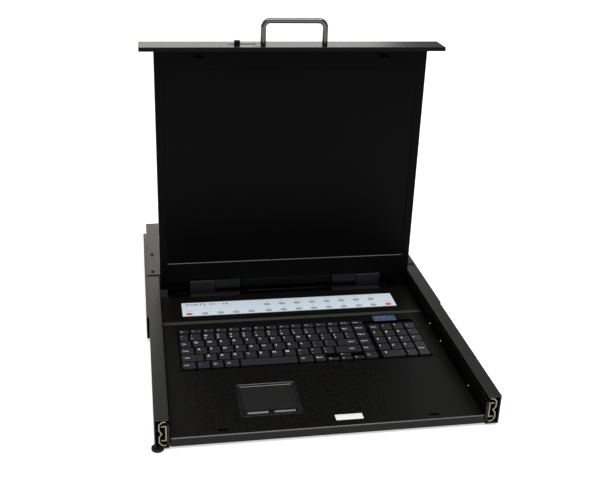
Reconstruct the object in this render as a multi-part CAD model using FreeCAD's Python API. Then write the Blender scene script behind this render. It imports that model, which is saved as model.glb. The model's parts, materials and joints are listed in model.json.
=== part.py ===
import FreeCAD, Part
import math
import os

Vector = FreeCAD.Vector

# Rack console drawer: two slide rails, a keyboard drawer with the switch box behind it, and a screen lid.
# Millimetres. X is across, the front faces -Y, +Z is up, Z = 0 is the surface the feet stand on.

# Rails that stay in the rack
chassis_width = 444.0
chassis_depth = 616.0
rail_height = 42.0
rail_width = 18.0
rail_wall = 1.5
rear_rail_width = 23.0
rear_rail_overlap = 48.0
tie_plate_depth = 90.0
tie_plate_gap = 5.7
tie_plate_thickness = 1.2
tie_screw_inset_x = 9.4
tie_screw_inset_y = 12.0
tie_screw_radius = 1.9
tie_screw_head_radius = 3.2
tie_screw_head_height = 1.8
sleeve_end_gap = 41.0
sleeve_length = 310.0
sleeve_depth = 4.0
sleeve_height = 36.0
sleeve_wall = 1.2
ear_hole_radius = 2.1
ear_hole_setback = 60.0
ear_hole_spacing_y = 30.0
ear_hole_spacing_z = 20.0
boss_radius = 3.0
boss_height_offset = 8.5
boss_front_inset = 22.0
boss_rear_inset = 50.0
foot_radius = 8.0
foot_height = 3.0
foot_front_setback = 3.6
foot_inset_y = 30.0
screw_hole_clearance = 0.1
shank_sides = 6
head_sides = 8
boss_sides = 8
foot_sides = 16

# Ball slides
slide_end_gap = 16.0
slide_wall = 1.5
slide_standoff = 5.25
slide_height_gap = 0.25
slide_lip_reach = 14.2
slide_corner = 4.45
slide_dent_half_height = 4.3
slide_dent_depth = 3.2
inner_reach = 8.6
inner_face = 15.05
ball_radius = 2.38
ball_running_gap = 0.27
ball_place = 11.4
balls_per_row = 3
cage_length = 180.0
cage_start = 208.0
cage_wall = 0.7
cage_clearance = 0.3
cage_shelf_drop = 1.4
cage_window_clearance = 0.2
ball_sides = 6

# Keyboard drawer
drawer_setback = 1.0
side_wall = 1.5
side_bottom = 3.6
side_top_gap = 9.0
side_flange = 25.0
side_front_flange = 3.75
side_screw_first = 72.0
side_screw_second = 193.0
side_screw_third = 247.0
side_screw_drop = 2.95
side_screw_radius = 1.5
side_screw_head_radius = 2.6
side_screw_head_height = 1.2
tray_gap = 3.75
tray_height = 13.0
tray_wall = 1.2
tray_lip_bottom = 1.0
tray_edge_bevel = 1.0
tray_underlap = 16.5
pan_inset = 6.2
pan_setback = 4.0
pan_rear_gap = 2.0
deck_front_margin = 20.1
deck_rear_gap = 2.3
deck_rise = 2.5
deck_slope = 3.5
deck_wall = 1.5

# Port keypad on the rear deck
strip_left_margin = 10.6
strip_right_margin = 12.2
strip_rear_margin = 22.9
strip_depth = 42.5
strip_thickness = 0.6
button_length = 8.4
button_width = 5.4
button_gap = 0.25
button_rise = 0.5
button_travel = 0.35
button_undercut = 0.4
plunger_size = 2.4
plunger_slot_gap = 0.3
oval_end_sides = 3
plunger_length = 2.6
button_pitch = 24.1
button_row_pitch = 20.2
button_row_inset = 6.2
power_button_reach = 160.4
power_button_gap = 24.0
menu_count = 4
port_block_gap = 26.6
port_columns = 8
board_wall = 1.6
board_gap = 0.45
board_post = 5.0

# Keyboard
keyboard_left_margin = 21.2
keyboard_right_margin = 22.3
keyboard_rear_gap = 21.0
key_row_pitch = 19.3
key_gap = 1.6
key_top_inset = 1.2
key_rise = 2.8
key_drop = 1.8
key_travel = 2.0
stem_size = 4.0
stem_length = 4.6
stem_gap = 0.5
main_block_ratio = 13.889
side_column_ratio = 1.045
function_row_depth = 11.6
function_row_gap = 1.2
escape_ratio = 0.902
grave_ratio = 0.801
tab_ratio = 0.95
caps_ratio = 1.114
shift_ratio = 1.777
control_ratio = 1.119
fn_ratio = 1.056
logo_ratio = 0.971
alt_ratio = 1.178
space_ratio = 4.419
alt_right_ratio = 1.215
menu_key_ratio = 0.939
arrow_ratio = 1.019
numpad_ratio = 0.979
numpad_gap = 4.6
numpad_columns = 4
keyboard_edge = 1.2
keyboard_rim = 6.0
keyboard_base_wall = 3.0
key_stop_gap = 0.6

# Touchpad
pad_offset = 71.0
pad_width = 81.0
pad_start = 35.0
pad_depth = 74.0
pad_corner = 4.0
pad_proud = 0.6
pad_flange = 2.5
pad_border = 5.5
pad_bevel = 2.0
pad_floor = 1.2
pad_button_depth = 9.0
pad_button_bar = 3.2
pad_button_bar_rise = 0.9
pad_button_gap = 0.5
pad_button_travel = 0.8
pad_button_height = 2.0
pad_button_drop = 1.3
pad_button_split = 2.0
touch_wall = 1.4
touch_drop = 1.6

# Hinges
hinge_setback = 380.6
hinge_height = 30.2
hinge_face = 9.3
hinge_rise = 12.2
hinge_side = 86.5
hinge_width = 80.0
hinge_seam = 1.0
hinge_corner = 6.0
hinge_foot = 7.0
hinge_foot_rise = 1.2
hinge_foot_slope = 1.8
hinge_under_gap = 0.8
hinge_arm_wall = 3.0
hinge_arm_rise = 44.8
pin_radius = 3.0
pin_running_gap = 0.05
pin_end_inset = 1.0

# Screen lid
lid_side_gap = 2.0
lid_thickness = 21.0
lid_wall = 1.5
lid_drop = 4.2
lid_bevel_rise = 11.5
lid_bevel_depth = 5.2
lid_cut_gap = 1.5
lid_cut_rise = 14.0
bezel_side = 11.5
bezel_bottom = 46.8
bezel_top = 28.3
glass_margin = 2.5
glass_thickness = 1.2
module_margin = 7.5
module_rear_gap = 1.8
display_board_width = 120.0
display_board_height = 80.0
display_board_rise = 124.0
display_board_thickness = 3.0

# Front panel and handle
panel_overhang = 1.0
panel_lift = 0.3
panel_gap = 0.5
panel_thickness = 6.0
panel_bevel = 0.6
handle_span = 91.0
handle_reach = 38.2
handle_radius = 4.0
handle_bend = 10.0
handle_sides = 10
handle_place = 20.5
handle_screw_radius = 2.0
handle_screw_depth = 14.0
handle_screw_head_radius = 3.6
handle_screw_head_height = 2.6
panel_screw_side = 22.0
panel_screw_reach = 60.0
panel_screw_inset = 4.5
panel_screw_depth = 4.0
panel_screw_radius = 1.5
panel_screw_head_radius = 2.8
panel_screw_head_height = 1.6

# Lid latch
latch_travel = 8.0
latch_slot_lead = 13.0
latch_slot_length = 40.0
latch_slot_width = 5.0
latch_slot_setback = 1.4
latch_stem_width = 5.0
latch_stem_gap = 0.5
latch_knob_reach = 83.0
latch_knob_width = 8.0
latch_knob_depth = 10.0
latch_knob_height = 5.2
latch_knob_gap = 0.5
latch_knob_corner = 1.5
latch_bar_overrun = 12.0
latch_bar_wall = 2.0
latch_bar_height = 10.0
latch_bar_drop = 7.3
latch_bar_depth = 9.0
hook_side = 65.0
hook_drop = 11.8
hook_shank = 4.0
hook_thickness = 2.5
hook_toe = 3.0
hook_toe_height = 3.0
hook_engage_gap = 0.9
hook_slot_length = 14.0
hook_slot_gap = 0.7
hook_slot_lead = 0.5

# Switch box behind the drawer
box_front_gap = 14.1
box_side_gap = 15.45
box_top_gap = 4.0
box_wall = 1.2
vent_length = 34.0
vent_width = 3.0
vent_pitch_x = 46.0
vent_pitch_y = 14.0
vent_columns = 6
vent_rows = 3
vent_inset = 36.0
port_side = 22.0
port_row_gap = 0.25
port_gap_x = 2.0
port_gap_z = 2.5
port_body_depth = 9.0
port_shell_width = 17.0
port_shell_height = 8.6
port_shell_taper = 1.4
port_shell_length = 6.0
port_shell_gap = 0.3
lan_gap = 33.0
lan_inlet_gap = 28.0
lan_width = 16.0
lan_height = 13.5
lan_depth = 18.0
lan_proud = 0.5
lan_socket_width = 11.8
lan_socket_height = 8.2
lan_socket_depth = 12.0
inlet_side = 66.0
inlet_width = 54.0
inlet_height_gap = 3.5
inlet_depth = 24.0
inlet_flange = 2.5
inlet_flange_thickness = 2.4
inlet_socket_width = 27.0
inlet_socket_height = 19.5
inlet_socket_depth = 16.0
inlet_socket_inset = 4.0
inlet_corner = 4.0
inlet_pin_width = 2.0
inlet_pin_length = 12.0
inlet_pin_height = 4.0
inlet_pin_spread = 7.0
inlet_pin_rise = 2.6
rocker_window_width = 11.0
rocker_window_height = 18.0
rocker_window_depth = 10.0
rocker_window_inset = 4.0
rocker_gap = 0.4
rocker_half_height = 7.8
rocker_proud = 2.6
rocker_waist = 1.2
rocker_root = 4.5
rocker_root_half = 4.6
rocker_tilt = 8.0
rocker_pivot_depth = 1.0
rocker_axle_radius = 1.5
rocker_axle_reach = 1.0
rocker_axle_sides = 12
rocker_bore_gap = 0.2
main_board_side_gap = 10.0
main_board_front_gap = 8.0
main_board_rise = 3.0
supply_side = 70.0
supply_width = 60.0
supply_front_gap = 16.0
supply_rear_gap = 40.0
supply_height_gap = 3.5

# Places worked out from the sizes above
half_width = chassis_width / 2
foot_overhang = foot_radius - foot_front_setback
front = -(chassis_depth - foot_overhang) / 2
base = foot_height
slide_centre = base + rail_height / 2
slide_length = chassis_depth - slide_end_gap
slide_half_height = rail_height / 2 - 2 * rail_wall - slide_height_gap
inner_half_height = slide_half_height - slide_wall - 2 * (ball_radius + ball_running_gap)
rail_top = base + rail_height
front_rail_length = hinge_setback - hinge_face + lid_thickness + tie_plate_gap + tie_plate_depth
sleeve_start = chassis_depth - sleeve_end_gap - sleeve_length
tray_top = base + tray_height
tray_under = tray_top - tray_wall
side_inner = inner_face + side_wall
side_floor = base + side_bottom + side_wall
side_top = rail_height - side_top_gap
side_screw_z = slide_centre + inner_half_height - side_screw_drop
tray_half = half_width - side_inner - tray_gap
deck_end = hinge_setback - hinge_face - deck_rear_gap
strip_start = deck_end - strip_rear_margin - strip_depth
deck_start = strip_start - deck_front_margin
tray_plate_end = deck_start + tray_underlap
deck_top = tray_top + deck_rise
deck_under = deck_top - deck_wall
button_row_start = strip_start + button_row_inset
power_button_x = -power_button_reach
menu_first_x = power_button_x + power_button_gap
port_first_x = menu_first_x + (menu_count - 1) * button_pitch + port_block_gap
reset_button_x = port_first_x + port_columns * button_pitch
strip_left = power_button_x - strip_left_margin
strip_right = reset_button_x + strip_right_margin
keyboard_ratio = main_block_ratio + side_column_ratio + numpad_columns * numpad_ratio
keyboard_width = 2 * tray_half - keyboard_left_margin - keyboard_right_margin
key_unit = (keyboard_width - numpad_gap) / keyboard_ratio
keys_left = -tray_half + keyboard_left_margin
keys_right = keys_left + main_block_ratio * key_unit
nav_right = keys_right + side_column_ratio * key_unit
numpad_left = nav_right + numpad_gap
numpad_pitch = numpad_ratio * key_unit
key_rows_depth = 5 * key_row_pitch + function_row_gap + function_row_depth
keys_start = deck_start - keyboard_rear_gap - key_rows_depth
pad_left = -pad_offset - pad_width / 2
pad_button_room = pad_button_drop + pad_button_height + pad_button_travel + pad_button_gap
pad_frame_height = pad_proud + pad_button_room + pad_floor
hinge_y = front + hinge_setback
hinge_z = base + hinge_height
face_y = hinge_y - hinge_face
lid_half = half_width - rail_width - lid_side_gap
lid_back_y = face_y + lid_thickness
hinge_centre_x = lid_half - hinge_side
hook_x = lid_half - hook_side
lid_top = hinge_z + hinge_setback + panel_gap
lid_low = hinge_z - lid_drop
lid_bevel_top = hinge_z + lid_bevel_rise
screen_half_width = lid_half - bezel_side
screen_bottom = lid_low + bezel_bottom
screen_top = lid_top - bezel_top
panel_height = rail_height - panel_lift
panel_front_y = hinge_y - (hinge_height - panel_lift)
panel_back_y = panel_front_y + panel_height
panel_top = lid_top + panel_thickness
panel_half = half_width + panel_overhang
latch_knob_x = -latch_knob_reach
latch_slot_left = latch_knob_x - latch_slot_lead
latch_slot_y = face_y + latch_slot_setback
latch_bar_half_length = hook_x + latch_bar_overrun
hook_start_offset = hook_slot_lead - hook_slot_length / 2
hook_z = lid_top - hook_drop
hook_closed_y = hinge_y - (hook_z - hinge_z)
hook_toe_y = hinge_y - (hinge_z - (tray_under - hook_engage_gap))
glass_front_y = face_y + lid_wall
module_front_y = glass_front_y + glass_thickness
module_back_y = lid_back_y - lid_wall - module_rear_gap - display_board_thickness
box_start = hinge_setback + hinge_face + box_front_gap
box_rear_y = front + slide_length
box_half_width = half_width - side_inner - box_side_gap
box_top = rail_height - box_top_gap
box_inside_height = base + box_top - side_floor - 2 * box_wall
box_middle = (base + box_top + side_floor) / 2
inlet_left = box_half_width - inlet_side
inlet_height = box_inside_height - inlet_height_gap
lan_x = inlet_left - lan_inlet_gap
port_start_x = -box_half_width + port_side
port_pitch_x = (lan_x - lan_gap - port_start_x) / (port_columns - 1)
port_pitch_z = box_inside_height / 2 - port_row_gap
port_body_width = port_pitch_x - port_gap_x
port_body_height = port_pitch_z - port_gap_z
supply_left = box_half_width - supply_side
supply_start = box_start + supply_front_gap
supply_depth = slide_length - box_start - supply_front_gap - supply_rear_gap
supply_height = box_inside_height - supply_height_gap


def slab(x, y, z):
    """Block between a low and a high bound on each axis."""
    sizes = [bounds[1] - bounds[0] for bounds in (x, y, z)]
    return Part.makeBox(*sizes, Vector(x[0], y[0], z[0]))


def closed_face(points, radii):
    """Flat face inside a closed outline, each corner rounded by its radius."""
    starts = []
    ends = []
    edges = []
    for place, corner in enumerate(points):
        to_last = (points[place - 1] - corner).normalize()
        to_next = (points[(place + 1) % len(points)] - corner).normalize()
        half = to_last.getAngle(to_next) / 2
        reach = radii[place] / math.tan(half)
        starts.append(corner + to_last * reach)
        ends.append(corner + to_next * reach)
    for place, corner in enumerate(points):
        if radii[place] > 0:
            centre = (starts[place] + ends[place]) / 2
            away = (centre - corner).normalize()
            half = away.getAngle(starts[place] - corner)
            middle = corner + away * (radii[place] / math.sin(half) - radii[place])
            edges.append(Part.Arc(starts[place], middle, ends[place]).toShape())
        following = starts[(place + 1) % len(points)]
        if ends[place].distanceToPoint(following) > 1e-6:
            edges.append(Part.makeLine(ends[place], following))
    return Part.Face(Part.Wire(edges))


def along_x(outline, x, radii=None):
    """Prism of a (y, z) outline between two x bounds."""
    points = [Vector(x[0], y, z) for y, z in outline]
    return closed_face(points, radii or [0] * len(points)).extrude(Vector(x[1] - x[0], 0, 0))


def along_y(outline, y, radii=None):
    """Prism of an (x, z) outline between two y bounds."""
    points = [Vector(x, y[0], z) for x, z in outline]
    return closed_face(points, radii or [0] * len(points)).extrude(Vector(0, y[1] - y[0], 0))


def along_z(outline, z, radii=None):
    """Prism of an (x, y) outline between two z bounds."""
    points = [Vector(x, y, z[0]) for x, y in outline]
    return closed_face(points, radii or [0] * len(points)).extrude(Vector(0, 0, z[1] - z[0]))


def rectangle(first, second):
    """Corners of a rectangle between bounds on two axes."""
    return [(first[0], second[0]), (first[1], second[0]), (first[1], second[1]), (first[0], second[1])]


def parallel(line, distance):
    """Open line moved sideways by a distance, to the left of its travel, with mitred corners."""
    moved = []
    for place, (a, b) in enumerate(line):
        normals = []
        for start in (place - 1, place):
            if 0 <= start < len(line) - 1:
                da = line[start + 1][0] - line[start][0]
                db = line[start + 1][1] - line[start][1]
                run = math.hypot(da, db)
                normals.append((-db / run, da / run))
        na = sum(normal[0] for normal in normals)
        nb = sum(normal[1] for normal in normals)
        scale = distance * len(normals) / (na * na + nb * nb)
        moved.append((a + na * scale, b + nb * scale))
    return moved


def sheet(line, thickness):
    """Outline of a bent sheet: its outer line and the parallel line one thickness to the left."""
    return line + parallel(line, thickness)[::-1]


def joined(shapes):
    """One solid from shapes that meet."""
    return shapes[0].multiFuse(shapes[1:]).removeSplitter()


def cut(shape, tools):
    """Shape with every tool taken away."""
    return shape.cut(tools)


def x_from_rail(side, near, far):
    """Bounds in x, from two distances inward of a rail's outer face."""
    return tuple(sorted((side * (half_width - near), side * (half_width - far))))


def rail_outline(side, outline):
    """Outline given as (distance inward of the rail's face, height from the slide's centre) in x and z."""
    return [(side * (half_width - inward), slide_centre + height) for inward, height in outline]


def ring(radius, sides, z=0.0):
    """Level points of a regular polygon about the Z axis."""
    angles = [2 * math.pi * (corner + 0.5) / sides for corner in range(sides)]
    return [Vector(radius * math.cos(angle), radius * math.sin(angle), z) for angle in angles]


def stacked(rings):
    """Solid with flat facets between level rings of points, from the lowest ring to the highest."""
    loops = [rings[0][::-1], rings[-1]]
    for low, high in zip(rings, rings[1:]):
        for place in range(len(low)):
            loops.append([low[place - 1], low[place], high[place], high[place - 1]])
    faces = [Part.Face(Part.makePolygon(loop + loop[:1])) for loop in loops]
    return Part.makeSolid(Part.makeShell(faces))


def peg(start, direction, radius, length, sides=0):
    """Peg from a start point along a direction, round or with flat sides."""
    if not sides:
        return Part.makeCylinder(radius, length, Vector(*start), Vector(*direction))
    prism = closed_face(ring(radius, sides), [0] * sides).extrude(Vector(0, 0, length))
    turn = FreeCAD.Rotation(Vector(0, 0, 1), Vector(*direction))
    prism.Placement = FreeCAD.Placement(Vector(*start), turn)
    return prism


def screw(start, direction, shank, head):
    """Screw with its head's underside at the start: shank and head as (radius, length) pairs."""
    backward = [-part for part in direction]
    return joined([peg(start, direction, *shank, shank_sides), peg(start, backward, *head, head_sides)])


# Rails

def rail(side):
    """C-channel open inwards, with pressed bosses that carry the slide and holes for a rack ear."""
    low = -rail_height / 2
    high = rail_height / 2
    line = [(rail_width, high), (0, high), (0, low), (rail_width, low)]
    channel = along_y(rail_outline(side, sheet(line, rail_wall)), (front, front + front_rail_length))
    rear_boss = front_rail_length - rear_rail_overlap - boss_rear_inset
    bosses = []
    for place in (boss_front_inset, (boss_front_inset + rear_boss) / 2, rear_boss):
        for height in (-boss_height_offset, boss_height_offset):
            start = (side * (half_width - rail_wall), front + place, slide_centre + height)
            bosses.append(peg(start, (-side, 0, 0), boss_radius, slide_standoff - rail_wall, boss_sides))
    return cut(joined([channel] + bosses), ear_holes(side) + tie_screw_holes(side))


def ear_holes(side):
    """Four holes through the rail's web for a bolted rack ear."""
    holes = []
    for along in (-ear_hole_spacing_y / 2, ear_hole_spacing_y / 2):
        for height in (-ear_hole_spacing_z / 2, ear_hole_spacing_z / 2):
            start = (side * half_width, front + ear_hole_setback + along, slide_centre + height)
            holes.append(peg(start, (-side, 0, 0), ear_hole_radius, rail_wall))
    return holes


def rear_rail(side):
    """Rear extension channel, nested inside the front rail."""
    high = rail_height / 2 - rail_wall
    line = [(rail_wall + rear_rail_width, high), (rail_wall, high)]
    line += [(rail_wall, -high), (rail_wall + rear_rail_width, -high)]
    span = (front + front_rail_length - rear_rail_overlap, front + chassis_depth)
    return cut(along_y(rail_outline(side, sheet(line, rail_wall)), span), tie_screw_holes(side))


def tie_screw_starts(side):
    """Points on the tie plate's top where its two screws at one end go in."""
    end = front + front_rail_length
    x = side * (half_width - tie_screw_inset_x)
    top = rail_top + tie_plate_thickness
    return [(x, end - tie_plate_depth + tie_screw_inset_y, top), (x, end - tie_screw_inset_y, top)]


def tie_screw_holes(side):
    """Clearance holes for the tie plate's screws, through plate and flanges."""
    depth = 2 * rail_wall + tie_plate_thickness
    radius = tie_screw_radius + screw_hole_clearance
    return [peg(start, (0, 0, -1), radius, depth, shank_sides) for start in tie_screw_starts(side)]


def tie_plate():
    """Flat cross plate that ties the two rails together behind the lid."""
    end = front + front_rail_length
    plate = slab((-half_width, half_width), (end - tie_plate_depth, end),
                 (rail_top, rail_top + tie_plate_thickness))
    return cut(plate, tie_screw_holes(-1) + tie_screw_holes(1))


def rail_screws():
    """Four screws of the tie plate."""
    shank = (tie_screw_radius, 2 * rail_wall + tie_plate_thickness)
    head = (tie_screw_head_radius, tie_screw_head_height)
    starts = tie_screw_starts(-1) + tie_screw_starts(1)
    return [screw(start, (0, 0, -1), shank, head) for start in starts]


def bracket_sleeve(side):
    """Shallow channel on the rail's outer face that takes the bar of a rear rack ear."""
    high = sleeve_height / 2
    line = [(0, high), (-sleeve_depth, high), (-sleeve_depth, -high), (0, -high)]
    span = (front + sleeve_start, front + sleeve_start + sleeve_length)
    return along_y(rail_outline(side, sheet(line, sleeve_wall)), span)


def rubber_feet():
    """Four round feet, the front left one at the rail's corner and the others under the rails."""
    rear = front + chassis_depth - foot_inset_y
    middle = half_width - rail_width / 2
    places = [(-(half_width + sleeve_depth - foot_radius), front + foot_front_setback)]
    places += [(middle, front + foot_inset_y), (-middle, rear), (middle, rear)]
    heights = [foot_height, foot_height, foot_height + rail_wall, foot_height + rail_wall]
    return [peg((*place, 0), (0, 0, 1), foot_radius, height, foot_sides)
            for place, height in zip(places, heights)]


# Ball slides

def slide_outer_line():
    """Rail-side line of the fixed slide: lip, corner, web with a V-shaped dent, corner, lip."""
    corner = slide_standoff + slide_corner
    shoulder = slide_half_height - slide_corner
    upper = [(slide_lip_reach, slide_half_height), (corner, slide_half_height), (slide_standoff, shoulder),
             (slide_standoff, slide_dent_half_height)]
    lower = [(inward, -height) for inward, height in reversed(upper)]
    return upper + [(slide_standoff + slide_dent_depth, 0)] + lower


def slide_outer(side):
    """Fixed member of the slide, a rolled C with lips that hold the balls."""
    start = front + drawer_setback / 2
    return along_y(rail_outline(side, sheet(slide_outer_line(), slide_wall)), (start, start + slide_length))


def slide_inner(side):
    """Moving member of the slide, a smaller C screwed to the drawer's side."""
    line = [(inner_reach, inner_half_height), (inner_face, inner_half_height)]
    line += [(inner_face, -inner_half_height), (inner_reach, -inner_half_height)]
    start = front + drawer_setback
    member = along_y(rail_outline(side, sheet(line, -slide_wall)), (start, start + slide_length))
    return cut(member, side_screw_holes(side))


def ball_height():
    """Height of a ball's centre from the slide's centre."""
    return inner_half_height + ball_running_gap + ball_radius


def ball(centre):
    """Steel ball, its surface in flat facets."""
    rings = []
    for step in range(ball_sides // 2):
        rise = 2 * math.pi * (step + 0.5) / ball_sides
        rings.append(ring(ball_radius * math.sin(rise), ball_sides, -ball_radius * math.cos(rise)))
    shape = stacked(rings)
    shape.translate(centre)
    return shape


def ball_cage(side):
    """Bent retainer between the slide members, with its steel balls in square windows."""
    shelf = ball_height() - cage_shelf_drop + cage_wall / 2
    web = [(slide_standoff, shelf), (slide_standoff, slide_dent_half_height),
           (slide_standoff + slide_dent_depth, 0),
           (slide_standoff, -slide_dent_half_height), (slide_standoff, -shelf)]
    web = parallel(web, slide_wall + cage_clearance)
    line = [(slide_lip_reach, shelf)] + web + [(slide_lip_reach, -shelf)]
    span = (front + cage_start, front + cage_start + cage_length)
    retainer = along_y(rail_outline(side, sheet(line, cage_wall)), span)
    x = side * (half_width - ball_place)
    half = ball_radius + cage_window_clearance
    balls = []
    windows = []
    for number in range(balls_per_row):
        y = span[0] + cage_length * (number + 0.5) / balls_per_row
        for height in (-ball_height(), ball_height()):
            z = slide_centre + height
            balls.append(ball(Vector(x, y, z)))
            windows.append(slab((x - half, x + half), (y - half, y + half), (z - half, z + half)))
    return [cut(retainer, windows)] + balls


# Drawer

def drawer_side(side):
    """Bent side plate: wall, floor flange and a narrow flange at the front end."""
    low = base + side_bottom
    wall = slab(x_from_rail(side, inner_face, side_inner), (front + drawer_setback, box_rear_y),
                (low, base + side_top))
    floor = slab(x_from_rail(side, inner_face, side_inner + side_flange),
                 (front + pan_setback, box_rear_y), (low, side_floor))
    flange = slab(x_from_rail(side, inner_face, inner_face + side_front_flange),
                  (front + drawer_setback, front + drawer_setback + side_wall), (low, base + side_top))
    return cut(joined([wall, floor, flange]), side_screw_holes(side))


def side_screw_starts(side):
    """Points on the inner face of a drawer side where its screws go in."""
    x = side * (half_width - side_inner)
    places = (side_screw_first, side_screw_second, side_screw_third)
    return [(x, front + place, side_screw_z) for place in places]


def side_screw_holes(side):
    """Clearance holes through the drawer's side and the slide's web, at each screw."""
    radius = side_screw_radius + screw_hole_clearance
    return [peg(start, (side, 0, 0), radius, side_wall + slide_wall, shank_sides)
            for start in side_screw_starts(side)]


def side_screws():
    """Screws that hold the moving slides to the drawer's sides."""
    shank = (side_screw_radius, side_wall + slide_wall)
    head = (side_screw_head_radius, side_screw_head_height)
    return [screw(start, (side, 0, 0), shank, head)
            for side in (-1, 1) for start in side_screw_starts(side)]


def keyboard_bounds():
    """Bounds in x and y of the keyboard's opening."""
    right = numpad_left + numpad_columns * numpad_pitch
    return ((keys_left - keyboard_edge, right + keyboard_edge),
            (front + keys_start - keyboard_edge, function_row_end() + keyboard_edge))


def function_row_end():
    """Rear edge of the half-height function row."""
    return front + keys_start + key_rows_depth


def hook_slots():
    """Slots in the tray's front that the lid's hooks drop into."""
    depth = hook_thickness / 2 + hook_slot_gap
    slots = []
    for x in (-hook_x, hook_x):
        slots.append(slab((x - hook_slot_length / 2, x + hook_slot_length / 2),
                          (hook_closed_y - depth, hook_closed_y + depth), (tray_under, tray_top)))
    return slots


def tray():
    """Bent tray: top plate with a bevelled front lip and side flanges, cut for keyboard, pad and hooks."""
    lip = front + drawer_setback
    line = [(lip, base + tray_lip_bottom), (lip, tray_top - tray_edge_bevel),
            (lip + tray_edge_bevel, tray_top), (front + tray_plate_end, tray_top)]
    plate = along_x(sheet(line, -tray_wall), (-tray_half, tray_half))
    flanges = []
    for side in (-1, 1):
        x = tuple(sorted((side * tray_half, side * (tray_half - tray_wall))))
        flanges.append(slab(x, (lip + tray_wall, front + deck_end - deck_wall), (side_floor, tray_under)))
    x, y = keyboard_bounds()
    opening = slab(x, y, (tray_under, tray_top))
    pad = slab((pad_left + pad_flange, pad_left + pad_width - pad_flange),
               (front + pad_start + pad_flange, front + pad_start + pad_depth - pad_flange),
               (tray_under, tray_top))
    return cut(joined([plate] + flanges), [opening, pad] + hook_slots())


def bottom_pan():
    """Bottom plate under the tray, fixed below the side flanges."""
    half = tray_half - pan_inset
    return slab((-half, half), (front + pan_setback, front + box_start - pan_rear_gap),
                (base + side_bottom - tray_wall, base + side_bottom))


def rear_deck():
    """Raised cover behind the keyboard, with a sloped front edge and a rear flange."""
    line = [(front + deck_start, tray_top), (front + deck_start + deck_slope, deck_top),
            (front + deck_end, deck_top), (front + deck_end, side_floor)]
    cover = along_x(sheet(line, -deck_wall), (-tray_half, tray_half))
    below = slab((-tray_half, tray_half), (front + deck_start, front + tray_plate_end), (base, tray_top))
    slots = row_slots(all_button_places(), plunger_size / 2 + plunger_slot_gap, (deck_under, deck_top))
    return cut(cover, [below] + slots)


# Port keypad

def button_place(column_x, row):
    """Place of a keypad button in its row, counted from the front."""
    return (column_x, front + button_row_start + row * button_row_pitch)


def port_places():
    """Two rows of port buttons."""
    columns = [port_first_x + number * button_pitch for number in range(port_columns)]
    return [button_place(x, row) for row in (0, 1) for x in columns]


def menu_places():
    """Screen menu buttons, left of the ports."""
    return [button_place(menu_first_x + number * button_pitch, 0) for number in range(menu_count)]


def red_places():
    """Power button at the left end and reset button at the right end."""
    return [button_place(power_button_x, 0), button_place(reset_button_x, 0)]


def all_button_places():
    """Every button of the keypad."""
    return port_places() + menu_places() + red_places()


def row_slots(places, half, z):
    """One straight slot for each row of places, from its first place to its last."""
    rows = {}
    for x, y in places:
        rows.setdefault(round(y, 3), []).append(x)
    return [slab((min(row) - half, max(row) + half), (y - half, y + half), z) for y, row in rows.items()]


def oval(place, grow, z):
    """Upright oval prism, each end a half circle in flat facets."""
    reach = (button_length - button_width) / 2
    radius = button_width / 2 + grow
    outline = []
    for end in (1, -1):
        for step in range(oval_end_sides + 1):
            angle = math.pi * (step / oval_end_sides - 0.5)
            outline.append((place[0] + end * (reach + radius * math.cos(angle)),
                            place[1] + end * radius * math.sin(angle)))
    return along_z(outline, z)


def port_strip():
    """Thin overlay on the deck with an oval window for each button."""
    y = (front + strip_start, front + strip_start + strip_depth)
    plate = slab((strip_left, strip_right), y, (deck_top, deck_top + strip_thickness))
    z = (deck_top, deck_top + strip_thickness)
    return cut(plate, [oval(place, button_gap, z) for place in all_button_places()])


def keypad_button(place):
    """Oval cap with a plunger that reaches through the deck."""
    low = deck_top + button_undercut
    cap = oval(place, 0, (low, deck_top + strip_thickness + button_rise))
    half = plunger_size / 2
    plunger = slab((place[0] - half, place[0] + half), (place[1] - half, place[1] + half),
                   (low - plunger_length, low))
    return joined([cap, plunger])


def button_board():
    """Switch board below the keypad, hung from the deck on corner posts."""
    top = deck_top + button_undercut - plunger_length - button_travel - board_gap
    x = (strip_left, strip_right)
    y = (front + strip_start, front + strip_start + strip_depth)
    pieces = [slab(x, y, (top - board_wall, top))]
    for near_x in (x[0], x[1] - board_post):
        for near_y in (y[0], y[1] - board_post):
            post_x = (near_x, near_x + board_post)
            pieces.append(slab(post_x, (near_y, near_y + board_post), (top, deck_under)))
    return joined(pieces)


# Keyboard

def key_row(row):
    """Bounds in y of a full key row, counted from the front."""
    start = front + keys_start + row * key_row_pitch
    return (start, start + key_row_pitch)


def key_run(left, ratios):
    """Bounds in x of keys side by side, their widths given in key units."""
    bounds = []
    for ratio in ratios:
        bounds.append((left, left + ratio * key_unit))
        left += ratio * key_unit
    return bounds


def main_run(first, count):
    """First wide key, a run of square keys, a last key up to the main block's edge, and the side column."""
    run = key_run(keys_left, [first] + [1] * count)
    return run + [(run[-1][1], keys_right), (keys_right, nav_right)]


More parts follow.
